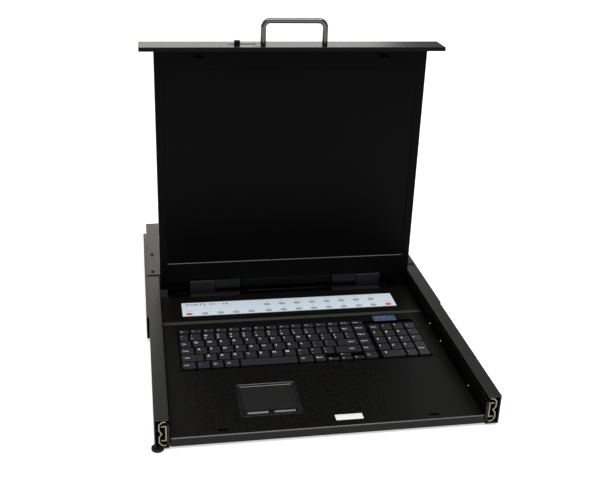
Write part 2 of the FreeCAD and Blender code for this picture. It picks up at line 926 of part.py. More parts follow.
def key_layout():
    """Cells of every key, grouped by row: node name to a list of (x bounds, y bounds)."""
    function_y = (function_row_end() - function_row_depth, function_row_end())
    bottom = key_row(0)
    half_low = (bottom[0], sum(bottom) / 2)
    half_high = (sum(bottom) / 2, bottom[1])
    lefts = key_run(keys_left, [control_ratio, fn_ratio, logo_ratio, alt_ratio])
    space = key_run(lefts[-1][1], [space_ratio])
    rights = key_run(space[-1][1], [alt_right_ratio, menu_key_ratio])
    arrows = key_run(rights[-1][1], [arrow_ratio, arrow_ratio])
    last = (arrows[-1][1], keys_right)
    bottom_keys = [(x, bottom) for x in lefts + rights + [(keys_right, nav_right)]]
    bottom_keys += [(arrows[0], half_low), (arrows[1], half_low), (arrows[1], half_high), (last, half_low)]
    return {
        "function_keys": [(x, function_y) for x in main_run(escape_ratio, 12)],
        "number_keys": [(x, key_row(4)) for x in main_run(grave_ratio, 12)],
        "upper_letter_keys": [(x, key_row(3)) for x in main_run(tab_ratio, 12)],
        "home_letter_keys": [(x, key_row(2)) for x in main_run(caps_ratio, 11)],
        "lower_letter_keys": [(x, key_row(1)) for x in main_run(shift_ratio, 10)],
        "bottom_keys": bottom_keys,
        "space_bar": [(space[0], bottom)],
        "numpad_keys": numpad_cells(),
    }


def numpad_cells():
    """Number block: square keys, a wide zero and a tall enter key."""
    columns = key_run(numpad_left, [numpad_ratio] * numpad_columns)
    cells = [(x, key_row(row)) for row in (4, 3, 2) for x in columns]
    cells += [(x, key_row(1)) for x in columns[:3]]
    cells.append(((columns[0][0], columns[1][1]), key_row(0)))
    cells.append((columns[2], key_row(0)))
    cells.append((columns[3], (key_row(0)[0], key_row(1)[1])))
    return cells


def level_rectangle(x, y, inset, z):
    """Corners of a level rectangle, drawn in from its bounds."""
    corners = rectangle((x[0] + inset, x[1] - inset), (y[0] + inset, y[1] - inset))
    return [Vector(a, b, z) for a, b in corners]


def key_middle(cell):
    """Middle of a key's cell in x and y."""
    return (sum(cell[0]) / 2, sum(cell[1]) / 2)


def key_bottom():
    """Height of a key cap's lower edge."""
    return tray_top - key_drop


def key(cell):
    """Tapered cap with a guide stem below."""
    cap = stacked([level_rectangle(*cell, key_gap / 2, key_bottom()),
                   level_rectangle(*cell, key_gap / 2 + key_top_inset, tray_top + key_rise)])
    x, y = key_middle(cell)
    half = stem_size / 2
    stem = slab((x - half, x + half), (y - half, y + half), (key_bottom() - stem_length, key_bottom()))
    return joined([cap, stem])


def keyboard_base():
    """Base plate below the keys, hung from the tray by its rim, with a guide slot for each row of stems."""
    x, y = keyboard_bounds()
    outer_x = (x[0] - keyboard_rim, x[1] + keyboard_rim)
    outer_y = (y[0] - keyboard_rim, y[1] + keyboard_rim)
    top = key_bottom() - key_travel - key_stop_gap
    low = top - keyboard_base_wall
    block = slab(outer_x, outer_y, (low, tray_under))
    well = slab((x[0] - key_gap, x[1] + key_gap), (y[0] - key_gap, y[1] + key_gap), (top, tray_under))
    middles = [key_middle(cell) for cells in key_layout().values() for cell in cells]
    return cut(block, [well] + row_slots(middles, stem_size / 2 + stem_gap, (low, top)))


# Touchpad

def pad_bounds(inset):
    """Bounds in x and y of the touchpad frame, drawn in by an inset."""
    return ((pad_left + inset, pad_left + pad_width - inset),
            (front + pad_start + inset, front + pad_start + pad_depth - inset))


def touchpad_frame():
    """Moulded frame: flange on the tray, body through it, a sloped well and a floor."""
    top = tray_top + pad_proud
    low = top - pad_frame_height
    x, y = pad_bounds(0)
    flange = along_z(rectangle(x, y), (tray_top, top), [pad_corner] * 4)
    x, y = pad_bounds(pad_flange)
    body = slab(x, y, (low, tray_top))
    x, y = pad_bounds(pad_border - pad_bevel)
    bevel = stacked([level_rectangle(x, y, pad_bevel, top - pad_bevel), level_rectangle(x, y, 0, top)])
    x, y = pad_bounds(pad_border)
    well = slab(x, y, (low + pad_floor, top - pad_bevel))
    return cut(joined([flange, body]), [bevel, well])


def touch_surface():
    """Flat touch plate behind the two buttons, standing on the frame's floor."""
    x, y = pad_bounds(pad_border)
    back = (y[0] + pad_button_depth + pad_button_gap, y[1])
    top = tray_top - touch_drop
    floor = tray_top + pad_proud - pad_frame_height + pad_floor
    plate = slab(x, back, (top - touch_wall, top))
    foot = slab((x[0], x[1]), (back[1] - touch_wall, back[1]), (floor, top))
    rest = slab((x[0], x[1]), (back[0], back[0] + touch_wall), (floor, top))
    return joined([plate, foot, rest])


def touchpad_button(side):
    """Button in front of the touch plate, with a raised glossy bar along its front edge."""
    x, y = pad_bounds(pad_border + pad_button_gap)
    middle = sum(x) / 2
    edge = pad_button_split / 2
    span = (x[0], middle - edge) if side < 0 else (middle + edge, x[1])
    top = tray_top - pad_button_drop
    rear = y[0] + pad_button_depth - pad_button_gap
    bar = y[0] + pad_button_bar
    outline = [(y[0], top - pad_button_height), (rear, top - pad_button_height), (rear, top),
               (bar, top), (bar - pad_button_bar_rise, top + pad_button_bar_rise),
               (y[0], top + pad_button_bar_rise / 2)]
    return along_x(outline, span)


# Hinges

def hinge_halves(side):
    """Bounds in x of a hinge's fixed outer half and its turning inner half."""
    inner = hinge_centre_x - hinge_width / 2
    outer = hinge_centre_x + hinge_width / 2
    fixed = (side * (hinge_centre_x + hinge_seam / 2), side * outer)
    turning = (side * inner, side * (hinge_centre_x - hinge_seam / 2))
    return tuple(sorted(fixed)), tuple(sorted(turning))


def pin_bore(x, radius):
    """Cylinder on the hinge axis between two x bounds."""
    return peg((x[0], hinge_y, hinge_z), (1, 0, 0), radius, x[1] - x[0])


def hinge_base(side):
    """Fixed hinge block: a round-topped half that holds the pin, and a low half under the knuckle."""
    fixed, turning = hinge_halves(side)
    back = hinge_y + hinge_face
    foot = [(face_y - hinge_foot, deck_top), (face_y - hinge_foot, deck_top + hinge_foot_rise),
            (face_y, deck_top + hinge_foot_rise + hinge_foot_slope)]
    low = [(back, side_floor), (front + deck_end, side_floor), (front + deck_end, deck_top)]
    crown = hinge_z + hinge_rise
    tall = along_x(foot + [(face_y, crown), (back, crown)] + low, fixed,
                   [0, 0, 0, hinge_corner, hinge_corner, 0, 0, 0])
    shelf = hinge_z - hinge_face - hinge_under_gap
    short = along_x(foot + [(face_y, shelf), (back, shelf)] + low, tuple(sorted(fixed + turning))[::3])
    return cut(joined([tall, short]), [pin_bore(fixed, pin_radius)])


def hinge_leaf(side):
    """Turning hinge knuckle with a flat arm that goes up inside the lid's back."""
    turning = hinge_halves(side)[1]
    back = hinge_y + hinge_face
    low = hinge_z - hinge_face
    crown = hinge_z + hinge_rise
    knuckle = along_x([(face_y, crown), (face_y, low), (back, low), (back, crown)], turning,
                      [0, hinge_face, hinge_face, 0])
    inside = lid_back_y - lid_wall
    arm = slab(turning, (inside - hinge_arm_wall, inside), (hinge_z, hinge_z + hinge_arm_rise))
    return cut(joined([knuckle, arm]), [pin_bore(turning, pin_radius + pin_running_gap)])


def hinge_pins():
    """Steel pins, tight in the fixed halves and free in the knuckles."""
    pins = []
    for side in (-1, 1):
        fixed, turning = hinge_halves(side)
        whole = tuple(sorted(fixed + turning))[::3]
        pins.append(pin_bore((whole[0] + pin_end_inset, whole[1] - pin_end_inset), pin_radius))
    return pins


# Lid

def hinge_cuts():
    """Notches in the lid's lower edge round the two hinges."""
    notches = []
    for side in (-1, 1):
        fixed, turning = hinge_halves(side)
        whole = tuple(sorted(fixed + turning))[::3]
        notches.append(slab((whole[0] - lid_cut_gap, whole[1] + lid_cut_gap),
                            (face_y, lid_back_y), (lid_low, hinge_z + lid_cut_rise)))
    return notches


def bezel_sheet():
    """Front sheet of the lid, bent back along its lower edge."""
    line = [(face_y, lid_top), (face_y, lid_bevel_top), (face_y + lid_bevel_depth, lid_low)]
    outline = sheet(line, lid_wall)
    level = slab((-lid_half, lid_half), (face_y, lid_back_y), (lid_low, lid_top))
    return along_x(outline, (-lid_half, lid_half)).common(level)


def screen_box(margin, y):
    """Upright block of the screen's window, grown by a margin."""
    return slab((-screen_half_width - margin, screen_half_width + margin), y,
                (screen_bottom - margin, screen_top + margin))


def lid_bezel():
    """Bezel with the screen's window, the hook slots and the hinge notches."""
    y = (face_y, face_y + lid_wall)
    height = hook_thickness / 2 + hook_slot_gap
    tools = [screen_box(0, y)] + hinge_cuts()
    for x in (-hook_x, hook_x):
        start = x + hook_start_offset - hook_slot_gap
        end = x + hook_start_offset + hook_shank + latch_travel + hook_slot_gap
        tools.append(slab((start, end), y, (hook_z - height, hook_z + height)))
    return cut(bezel_sheet(), tools)


def lid_back():
    """Deep back shell of the lid: back, sides, bottom and top walls, open to the bezel."""
    outline = [(face_y, lid_top), (lid_back_y, lid_top), (lid_back_y, lid_low),
               (face_y + lid_bevel_depth, lid_low), (face_y, lid_bevel_top)]
    shell = along_x(outline, (-lid_half, lid_half))
    inside = slab((-lid_half + lid_wall, lid_half - lid_wall), (face_y, lid_back_y - lid_wall),
                  (lid_low + lid_wall, lid_top - lid_wall))
    tools = [inside, bezel_sheet(), latch_slot((lid_top - lid_wall, lid_top))]
    tools += hinge_cuts() + panel_screw_holes(screw_hole_clearance)
    return cut(shell, tools)


def lcd_glass():
    """Front glass of the screen, against the back of the bezel."""
    return screen_box(glass_margin, (glass_front_y, module_front_y))


def lcd_module():
    """Screen module behind the glass, with folded edges along its frame."""
    y = (module_front_y, module_back_y)
    return screen_box(module_margin, y)


def display_board():
    """Screen driver board on the back of the module."""
    half = display_board_width / 2
    low = lid_low + display_board_rise
    return slab((-half, half), (module_back_y, module_back_y + display_board_thickness),
                (low, low + display_board_height))


# Front panel and handle

def latch_slot(z):
    """Long slot that the latch's stem moves in."""
    half = latch_slot_width / 2
    y = (latch_slot_y - half, latch_slot_y + half)
    return slab((latch_slot_left, latch_slot_left + latch_slot_length), y, z)


def handle_screw_starts():
    """Points inside the panel where the heads of the handle's screws seat."""
    y = panel_front_y + handle_place
    return [(side * handle_span / 2, y, lid_top + handle_screw_head_height) for side in (-1, 1)]


def handle_screw_set(grow):
    """Sunk screws from under the panel up into the handle's feet, grown by a clearance."""
    shank = (handle_screw_radius + grow, panel_thickness - handle_screw_head_height + handle_screw_depth)
    head = (handle_screw_head_radius + grow, handle_screw_head_height)
    return [screw(start, (0, 0, 1), shank, head) for start in handle_screw_starts()]


def panel_screw_starts():
    """Points on the underside of the lid's top wall where the panel's screws go in."""
    y = lid_back_y - lid_wall - panel_screw_inset
    outer = lid_half - panel_screw_side
    places = (-outer, -panel_screw_reach, panel_screw_reach, outer)
    return [(x, y, lid_top - lid_wall) for x in places]


def panel_screw_holes(grow):
    """Holes of the panel's screws, grown by a clearance."""
    return [peg(start, (0, 0, 1), panel_screw_radius + grow, lid_wall + panel_screw_depth, shank_sides)
            for start in panel_screw_starts()]


def front_panel():
    """Rack-height front plate with bevelled edges, a latch slot and its screw holes."""
    plate = slab((-panel_half, panel_half), (panel_front_y, panel_back_y), (lid_top, panel_top))
    rim = [edge for edge in plate.Edges if edge.BoundBox.ZMin > panel_top - panel_bevel]
    plate = plate.makeChamfer(panel_bevel, rim)
    tools = [latch_slot((lid_top, panel_top))] + handle_screw_set(screw_hole_clearance)
    return cut(plate, tools + panel_screw_holes(0))


def pull_handle():
    """Bar bent to a bail: two legs, two turned bends and a grip, with blind screw holes in its feet."""
    y = panel_front_y + handle_place
    rise = handle_reach - handle_radius - handle_bend
    section = closed_face(ring(handle_radius, handle_sides), [0] * handle_sides)
    pieces = []
    for side in (-1, 1):
        foot = Vector(side * handle_span / 2, y, panel_top)
        leg = section.extrude(Vector(0, 0, rise))
        leg.translate(foot)
        end = section.translated(foot + Vector(0, 0, rise))
        centre = Vector(foot.x - side * handle_bend, y, panel_top + rise)
        pieces += [leg, end.revolve(centre, Vector(0, -side, 0), 90)]
    grip = section.rotated(Vector(0, 0, 0), Vector(0, 1, 0), 90)
    half = handle_span / 2 - handle_bend
    grip.translate(Vector(-half, y, panel_top + rise + handle_bend))
    pieces.append(grip.extrude(Vector(2 * half, 0, 0)))
    return cut(joined(pieces), handle_screw_set(0))


def panel_screws():
    """Two sunk screws of the handle, and the four that hold the panel to the lid from inside."""
    shank = (panel_screw_radius, lid_wall + panel_screw_depth)
    head = (panel_screw_head_radius, panel_screw_head_height)
    inside = [screw(start, (0, 0, 1), shank, head) for start in panel_screw_starts()]
    return handle_screw_set(0) + inside


# Latch

def latch_bar():
    """Sliding bar in the lid's top with two forward hooks and the knob's stem."""
    near = face_y + latch_bar_depth
    bar_y = (near, near + latch_bar_wall)
    top = lid_top - latch_bar_drop
    pieces = [slab((-latch_bar_half_length, latch_bar_half_length), bar_y, (top - latch_bar_height, top))]
    for x in (-hook_x, hook_x):
        start = x + hook_start_offset
        z = (hook_z - hook_thickness / 2, hook_z + hook_thickness / 2)
        tip = hook_toe_y - hook_toe_height
        pieces.append(slab((start, start + hook_shank), (tip, near), z))
        toe = [(start, tip), (start + hook_shank, tip), (start + hook_shank + hook_toe, hook_toe_y),
               (start, hook_toe_y)]
        pieces.append(along_z(toe, z))
    slot_rear = latch_slot_y + latch_slot_width / 2
    stem_y = (face_y + lid_wall + latch_stem_gap, slot_rear - latch_stem_gap)
    x = (latch_knob_x - latch_stem_width / 2, latch_knob_x + latch_stem_width / 2)
    pieces.append(slab(x, (stem_y[0], near + latch_bar_wall), (top - latch_bar_wall, top)))
    pieces.append(slab(x, stem_y, (top - latch_bar_wall, panel_top + latch_knob_gap)))
    return joined(pieces)


def latch_knob():
    """Finger knob on the stem, with a sloped front."""
    low = panel_top + latch_knob_gap
    high = low + latch_knob_height
    y = (latch_slot_y - latch_knob_depth / 2, latch_slot_y + latch_knob_depth / 2)
    x = (latch_knob_x - latch_knob_width / 2, latch_knob_x + latch_knob_width / 2)
    return along_x(rectangle(y, (low, high)), x, [0, 0, latch_knob_corner, latch_knob_corner])


# Switch box

def switch_case():
    """Bent floor with front and rear walls, the rear one cut for every connector."""
    line = [(front + box_start, base + box_top - box_wall), (front + box_start, side_floor),
            (box_rear_y, side_floor), (box_rear_y, base + box_top - box_wall)]
    half = box_half_width - box_wall
    case = along_x(sheet(line, box_wall), (-half, half))
    y = (box_rear_y - box_wall, box_rear_y)
    tools = [along_y(port_outline(place, port_shell_gap), y) for place in port_connector_places()]
    tools.append(slab((lan_x - lan_width / 2, lan_x + lan_width / 2), y, lan_heights()))
    tools.append(slab((inlet_left, inlet_left + inlet_width), y, inlet_heights(0)))
    return cut(case, tools)


def switch_cover():
    """Bent top with side walls and rows of vent slots."""
    high = base + box_top
    line = [(-box_half_width, side_floor), (-box_half_width, high),
            (box_half_width, high), (box_half_width, side_floor)]
    cover = along_y(sheet(line, -box_wall), (front + box_start, box_rear_y))
    vents = []
    for column in range(vent_columns):
        x = (column - (vent_columns - 1) / 2) * vent_pitch_x
        for row in range(vent_rows):
            y = front + box_start + vent_inset + row * vent_pitch_y
            vents.append(slab((x - vent_length / 2, x + vent_length / 2), (y, y + vent_width),
                              (high - box_wall, high)))
    return cut(cover, vents)


def port_connector_places():
    """Centres in x and z of the computer port sockets, two rows on the rear wall."""
    places = []
    for column in range(port_columns):
        for row in (-0.5, 0.5):
            places.append((port_start_x + column * port_pitch_x, box_middle + row * port_pitch_z))
    return places


def port_outline(place, grow):
    """D-shaped outline of a socket's shell in x and z."""
    half = port_shell_width / 2 + grow
    high = port_shell_height / 2 + grow
    x, z = place
    return [(x - half + port_shell_taper, z - high), (x + half - port_shell_taper, z - high),
            (x + half, z + high), (x - half, z + high)]


def pc_ports():
    """Computer sockets: a block behind the rear wall and a D-shaped shell through it."""
    inside = box_rear_y - box_wall
    sockets = []
    for place in port_connector_places():
        x = (place[0] - port_body_width / 2, place[0] + port_body_width / 2)
        z = (place[1] - port_body_height / 2, place[1] + port_body_height / 2)
        block = slab(x, (inside - port_body_depth, inside), z)
        shell = along_y(port_outline(place, 0), (inside, box_rear_y + port_shell_length))
        sockets.append(joined([block, shell]))
    return sockets


def lan_heights():
    """Bounds in z of the network jack."""
    middle = box_middle
    return (middle - lan_height / 2, middle + lan_height / 2)


def lan_port():
    """Network jack with its socket and latch notch."""
    x = (lan_x - lan_width / 2, lan_x + lan_width / 2)
    rear = box_rear_y + lan_proud
    body = slab(x, (rear - lan_depth, rear), lan_heights())
    middle = box_middle
    half = lan_socket_width / 2
    high = lan_socket_height / 2
    notch = lan_socket_width / 4
    outline = [(lan_x - half, middle - high), (lan_x - notch, middle - high),
               (lan_x - notch, middle - high - notch / 2), (lan_x + notch, middle - high - notch / 2),
               (lan_x + notch, middle - high), (lan_x + half, middle - high),
               (lan_x + half, middle + high), (lan_x - half, middle + high)]
    return cut(body, [along_y(outline, (rear - lan_socket_depth, rear))])


def inlet_heights(grow):
    """Bounds in z of the power inlet's body."""
    middle = box_middle
    return (middle - inlet_height / 2 - grow, middle + inlet_height / 2 + grow)


def rocker_window():
    """Bounds in x of the rocker's window, at the inlet's right end."""
    right = inlet_left + inlet_width - rocker_window_inset
    return (right - rocker_window_width, right)


def rocker_pivot():
    """Place in y and z of the rocker's pivot."""
    return (box_rear_y - rocker_pivot_depth, box_middle)


def power_inlet():
    """Mains inlet with three blades in its socket and a window for the rocker."""
    middle = box_middle
    x = (inlet_left, inlet_left + inlet_width)
    body = slab(x, (box_rear_y - inlet_depth, box_rear_y), inlet_heights(0))
    rear = box_rear_y + inlet_flange_thickness
    flange = slab((x[0] - inlet_flange, x[1] + inlet_flange), (box_rear_y, rear), inlet_heights(inlet_flange))
    left = inlet_left + inlet_socket_inset
    socket_x = (left, left + inlet_socket_width)
    half = inlet_socket_height / 2
    floor = rear - inlet_socket_depth
    socket = along_y(rectangle(socket_x, (middle - half, middle + half)), (floor, rear),
                     [0, 0, inlet_corner, inlet_corner])
    window_x = rocker_window()
    half = rocker_window_height / 2
    window = slab(window_x, (rear - rocker_window_depth, rear), (middle - half, middle + half))
    y, z = rocker_pivot()
    bore = peg((window_x[0] - rocker_axle_reach, y, z), (1, 0, 0), rocker_axle_radius + rocker_bore_gap,
               rocker_window_width + 2 * rocker_axle_reach, rocker_axle_sides)
    centre = sum(socket_x) / 2
    blades = []
    for place, rise in ((-inlet_pin_spread, -inlet_pin_rise), (0, inlet_pin_rise),
                        (inlet_pin_spread, -inlet_pin_rise)):
        low = middle + rise - inlet_pin_height / 2
        blades.append(slab((centre + place - inlet_pin_width / 2, centre + place + inlet_pin_width / 2),
                           (floor, floor + inlet_pin_length), (low, low + inlet_pin_height)))
    return joined([cut(joined([body, flange]), [socket, window, bore])] + blades)


def power_rocker():
    """Rocker of the mains switch, resting with its lower end pressed in."""
    y, z = rocker_pivot()
    x = rocker_window()
    span = (x[0] + rocker_gap, x[1] - rocker_gap)
    outline = [(y - rocker_root, z - rocker_root_half), (y + rocker_proud, z - rocker_half_height),
               (y + rocker_waist, z), (y + rocker_proud, z + rocker_half_height),
               (y - rocker_root, z + rocker_root_half)]
    axle = peg((x[0] - rocker_axle_reach + rocker_gap, y, z), (1, 0, 0), rocker_axle_radius,
               rocker_window_width + 2 * (rocker_axle_reach - rocker_gap), rocker_axle_sides)
    rocker = joined([along_x(outline, span), axle])
    rocker.rotate(Vector(0, y, z), Vector(1, 0, 0), -rocker_tilt)
    return rocker


def switch_board():
    """Main board on posts above the box floor."""
    floor = side_floor + box_wall
    low = floor + main_board_rise
    x = (-box_half_width + main_board_side_gap, supply_left - main_board_side_gap)
    y = (front + box_start + main_board_front_gap, box_rear_y - box_wall - port_body_depth - board_gap)
    pieces = [slab(x, y, (low, low + board_wall))]
    for near_x in (x[0], x[1] - board_post):
        for near_y in (y[0], y[1] - board_post):
            pieces.append(slab((near_x, near_x + board_post), (near_y, near_y + board_post), (floor, low)))
    return joined(pieces)


def power_supply():
    """Boxed power supply beside the board, on the box floor."""
    floor = side_floor + box_wall
    return slab((supply_left, supply_left + supply_width),
                (front + supply_start, front + supply_start + supply_depth), (floor, floor + supply_height))


def export(node, shapes):
    """Write one node's solids to its STEP file."""
    shape = Part.makeCompound(shapes) if isinstance(shapes, list) else shapes
    shape.exportStep(f"parts/{node}.step")


os.makedirs("parts", exist_ok=True)
for name, side in (("left", -1), ("right", 1)):
    export(f"rail_{name}", rail(side))
    export(f"slide_outer_{name}", slide_outer(side))
    export(f"slide_inner_{name}", slide_inner(side))
    export(f"ball_cage_{name}", ball_cage(side))
    export(f"drawer_side_{name}", drawer_side(side))
    export(f"hinge_base_{name}", hinge_base(side))
    export(f"hinge_leaf_{name}", hinge_leaf(side))
    export(f"touchpad_button_{name}", touchpad_button(side))
for name, cells in key_layout().items():
    export(name, [key(cell) for cell in cells])
export("rear_rails", [rear_rail(side) for side in (-1, 1)])
export("bracket_sleeves", [bracket_sleeve(side) for side in (-1, 1)])
export("tie_plate", tie_plate())
export("rail_screws", rail_screws())
export("rubber_feet", rubber_feet())
export("side_screws", side_screws())
export("tray", tray())
export("bottom_pan", bottom_pan())
export("rear_deck", rear_deck())
export("port_strip", port_strip())
export("port_buttons", [keypad_button(place) for place in port_places()])
export("menu_buttons", [keypad_button(place) for place in menu_places()])
export("power_buttons", [keypad_button(place) for place in red_places()])
export("button_board", button_board())
export("keyboard_base", keyboard_base())
export("touchpad_frame", touchpad_frame())
export("touch_surface", touch_surface())
export("hinge_pins", hinge_pins())
export("lid_bezel", lid_bezel())
export("lid_back", lid_back())
export("lcd_glass", lcd_glass())
export("lcd_module", lcd_module())
export("display_board", display_board())
export("front_panel", front_panel())
export("pull_handle", pull_handle())
export("panel_screws", panel_screws())
export("latch_bar", latch_bar())
export("latch_knob", latch_knob())
export("switch_case", switch_case())
export("switch_cover", switch_cover())
export("switch_board", switch_board())
export("power_supply", power_supply())
export("pc_ports", pc_ports())
export("lan_port", lan_port())
export("power_inlet", power_inlet())
export("power_rocker", power_rocker())
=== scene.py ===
import json
import math

import bpy
import numpy as np
from bpy.props import FloatProperty, FloatVectorProperty, PointerProperty
from mathutils import Matrix, Vector


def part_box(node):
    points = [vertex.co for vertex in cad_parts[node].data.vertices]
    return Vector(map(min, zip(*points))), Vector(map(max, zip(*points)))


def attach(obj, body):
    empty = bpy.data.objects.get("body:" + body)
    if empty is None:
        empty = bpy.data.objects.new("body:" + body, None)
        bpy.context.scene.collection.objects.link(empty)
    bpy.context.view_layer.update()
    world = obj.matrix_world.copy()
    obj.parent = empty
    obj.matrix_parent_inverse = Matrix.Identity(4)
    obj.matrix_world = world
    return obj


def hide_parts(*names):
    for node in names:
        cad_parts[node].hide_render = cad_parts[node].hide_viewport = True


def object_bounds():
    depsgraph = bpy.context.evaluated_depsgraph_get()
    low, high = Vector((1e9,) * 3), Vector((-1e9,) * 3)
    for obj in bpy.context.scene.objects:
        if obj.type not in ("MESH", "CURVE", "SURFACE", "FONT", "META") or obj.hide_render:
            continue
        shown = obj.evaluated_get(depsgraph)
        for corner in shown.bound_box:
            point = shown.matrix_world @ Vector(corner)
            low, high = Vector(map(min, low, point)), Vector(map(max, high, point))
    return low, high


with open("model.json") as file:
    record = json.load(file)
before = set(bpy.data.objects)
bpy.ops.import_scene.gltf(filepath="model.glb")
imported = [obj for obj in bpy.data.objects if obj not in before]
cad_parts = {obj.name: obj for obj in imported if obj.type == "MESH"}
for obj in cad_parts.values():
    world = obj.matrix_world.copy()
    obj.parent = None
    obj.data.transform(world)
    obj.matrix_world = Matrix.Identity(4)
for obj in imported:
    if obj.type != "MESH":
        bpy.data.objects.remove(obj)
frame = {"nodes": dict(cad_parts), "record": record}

bl_info = {
    "name": "Rack console drawer",
    "version": (1, 0, 0),
    "blender": (4, 5, 0),
    "location": "View3D > Sidebar > Console",
    "description": "Dresses a rack console drawer with keys, keypad, handle, sockets, finishes and stage",
    "category": "Object",
}

CAD_BOX = [list(corner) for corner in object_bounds()]
NODES = frame["nodes"]
BODY_OF = {node: body for body, nodes in frame["record"]["behaviour"]["bodies"].items() for node in nodes}
MM = 0.001
PRINT_LIFT = 0.04 * MM
# How strongly the coats on the sheet metal and on the rails reflect.
COAT_SHEEN = 0.17
RAIL_SHEEN = 0.4


def linear(hex_colour):
    """Linear RGBA of an sRGB hex colour."""
    parts = np.array([int(hex_colour[place:place + 2], 16) for place in (1, 3, 5)]) / 255
    values = np.where(parts <= 0.04045, parts / 12.92, ((parts + 0.055) / 1.055) ** 2.4)
    return (*values.tolist(), 1.0)


def colour_property(name, description, hex_colour):
    """Colour that a user may change, given as sRGB hex."""
    return FloatVectorProperty(name=name, description=description, subtype="COLOR", size=4,
                               min=0.0, max=1.0, default=linear(hex_colour))


def length_property(name, description, millimetres):
    """Length that a user may change, given in millimetres."""
    return FloatProperty(name=name, description=description, subtype="DISTANCE", unit="LENGTH",
                         default=millimetres * MM, precision=5)


class ConsoleSizes(bpy.types.PropertyGroup):
    """Sizes of the dressing that the solids leave open."""

    key_corner: length_property("Key corner", "Corner radius of a key's top", 1.3)
    key_dish: length_property("Key dish", "How far a key's top is hollowed across", 0.25)
    key_edge: length_property("Key edge", "Rounding of a key's upper edge", 0.5)
    letter: length_property("Letter height", "Height of a single letter on a key", 4.6)
    word: length_property("Word height", "Height of a word on a key", 2.9)
    handle_radius: length_property("Handle radius", "Half the thickness of the handle's bar", 4.0)
    handle_bend: length_property("Handle bend", "Radius of the handle's bends along the bar's middle", 10.0)
    button_ring: length_property("Button ring", "Width of the printed ring round a keypad button", 0.6)
    number: length_property("Number height", "Height of a printed port number", 2.0)
    number_rise: length_property("Number distance", "From a button's middle to the foot of its number", 8.6)
    screw_recess: length_property("Screw recess", "Depth of the cross in a screw head", 0.7)


class ConsoleColours(bpy.types.PropertyGroup):
    """Colours of the finishes."""

    coat: colour_property("Powder coat", "Textured coat on the sheet metal", "#0c0b0a")
    rails: colour_property("Rails", "Textured coat on the fixed rails", "#10100f")
    panel: colour_property("Front panel", "Satin paint on the panel over the lid", "#060606")
    plastic: colour_property("Plastic", "Moulded black plastic", "#0d0d0e")
    hinges: colour_property("Hinges", "Hinge blocks", "#101015")
    keys: colour_property("Keys", "Key caps", "#2b2a2e")
    touchpad: colour_property("Touchpad", "Touchpad frame and buttons", "#1d1c22")
    touch_plate: colour_property("Touch plate", "Touchpad's sensing plate", "#1a1b19")
    legends: colour_property("Legends", "White print on the keys", "#f8f8f8")
    second_legends: colour_property("Second legends", "Blue print on the keys", "#4a70ff")
    zinc: colour_property("Zinc", "Plated slide members", "#8f8672")
    overlay: colour_property("Overlay", "Printed keypad film", "#e4f0fa")
    grey_button: colour_property("Grey buttons", "Port and menu buttons", "#b2bac3")
    red_button: colour_property("Red buttons", "Power and reset buttons", "#f04a2a")
    lamp_label: colour_property("Lamp label", "Label with the keyboard's lamps", "#46586e")


# Shapes

def grid_quads(rows, columns):
    """Quads between rows of points, each row a closed ring: (row, column) to the next of both."""
    here = np.arange(rows * columns).reshape(rows, columns)
    beside = np.roll(here, -1, axis=1)
    return np.stack([here[:-1], beside[:-1], beside[1:], here[1:]], axis=-1).reshape(-1, 4)


def ring_stacks(rings):
    """Closed solids from stacks of rings (copies, rings, points, 3): quads between rings, flat ends."""
    copies, rows, columns = rings.shape[:3]
    start = np.arange(copies)[:, None, None] * rows * columns
    quads = (grid_quads(rows, columns)[None] + start).reshape(-1, 4)
    lower = (np.arange(columns)[::-1][None] + start[:, 0]).reshape(copies, columns)
    upper = (np.arange(columns)[None] + (rows - 1) * columns + start[:, 0]).reshape(copies, columns)
    return rings.reshape(-1, 3), quads.tolist() + lower.tolist() + upper.tolist()


def corner_rings(half_x, half_y, radius, steps):
    """Rounded rectangles: x = sx (a - r) + r cos t, y = sy (b - r) + r sin t, over each quarter turn."""
    quarter = np.repeat(np.arange(4), steps)
    angle = (quarter + np.tile(np.linspace(0, 1, steps), 4)) * math.pi / 2
    side_x = np.array([1, -1, -1, 1])[quarter]
    side_y = np.array([1, 1, -1, -1])[quarter]
    half_x, half_y, radius = (np.asarray(value, float)[..., None] for value in (half_x, half_y, radius))
    return np.stack([side_x * (half_x - radius) + radius * np.cos(angle),
                     side_y * (half_y - radius) + radius * np.sin(angle)], axis=-1)


def oval_rings(reach, radius, steps):
    """Ovals with round ends: x = sign(cos t) reach + r cos t, y = r sin t, for t over a whole turn."""
    angle = 2 * math.pi * (np.arange(steps) + 0.5) / steps
    radius = np.asarray(radius, float)[..., None]
    return np.stack([np.sign(np.cos(angle)) * reach + radius * np.cos(angle),
                     radius * np.sin(angle)], axis=-1)


def frame_loop(rings):
    """Closed frame from rings (rings, points, 3): quads from each ring to the next, and last to first."""
    rows, columns = rings.shape[:2]
    here = np.arange(rows * columns).reshape(rows, columns)
    beside = np.roll(here, -1, axis=1)
    quads = np.stack([here, beside, np.roll(beside, -1, axis=0), np.roll(here, -1, axis=0)], axis=-1)
    return rings.reshape(-1, 3), quads.reshape(-1, 4).tolist()


def strip(section, left, right):
    """Bar along x with a section of (y, z) points, anticlockwise seen from +x."""
    section = np.array(section)
    ends = np.array([left, right])
    rings = np.empty((2, len(section), 3))
    rings[..., 0] = ends[:, None]
    rings[..., 1:] = section
    return ring_stacks(rings[None])


def turned(shape, origin, right, upward):
    """Shape moved so that its x, y and z run along right, upward and their cross product, from an origin."""
    points, faces = shape
    right, upward = np.array(right, float), np.array(upward, float)
    return points @ np.stack([right, upward, np.cross(right, upward)]) + np.array(origin), faces


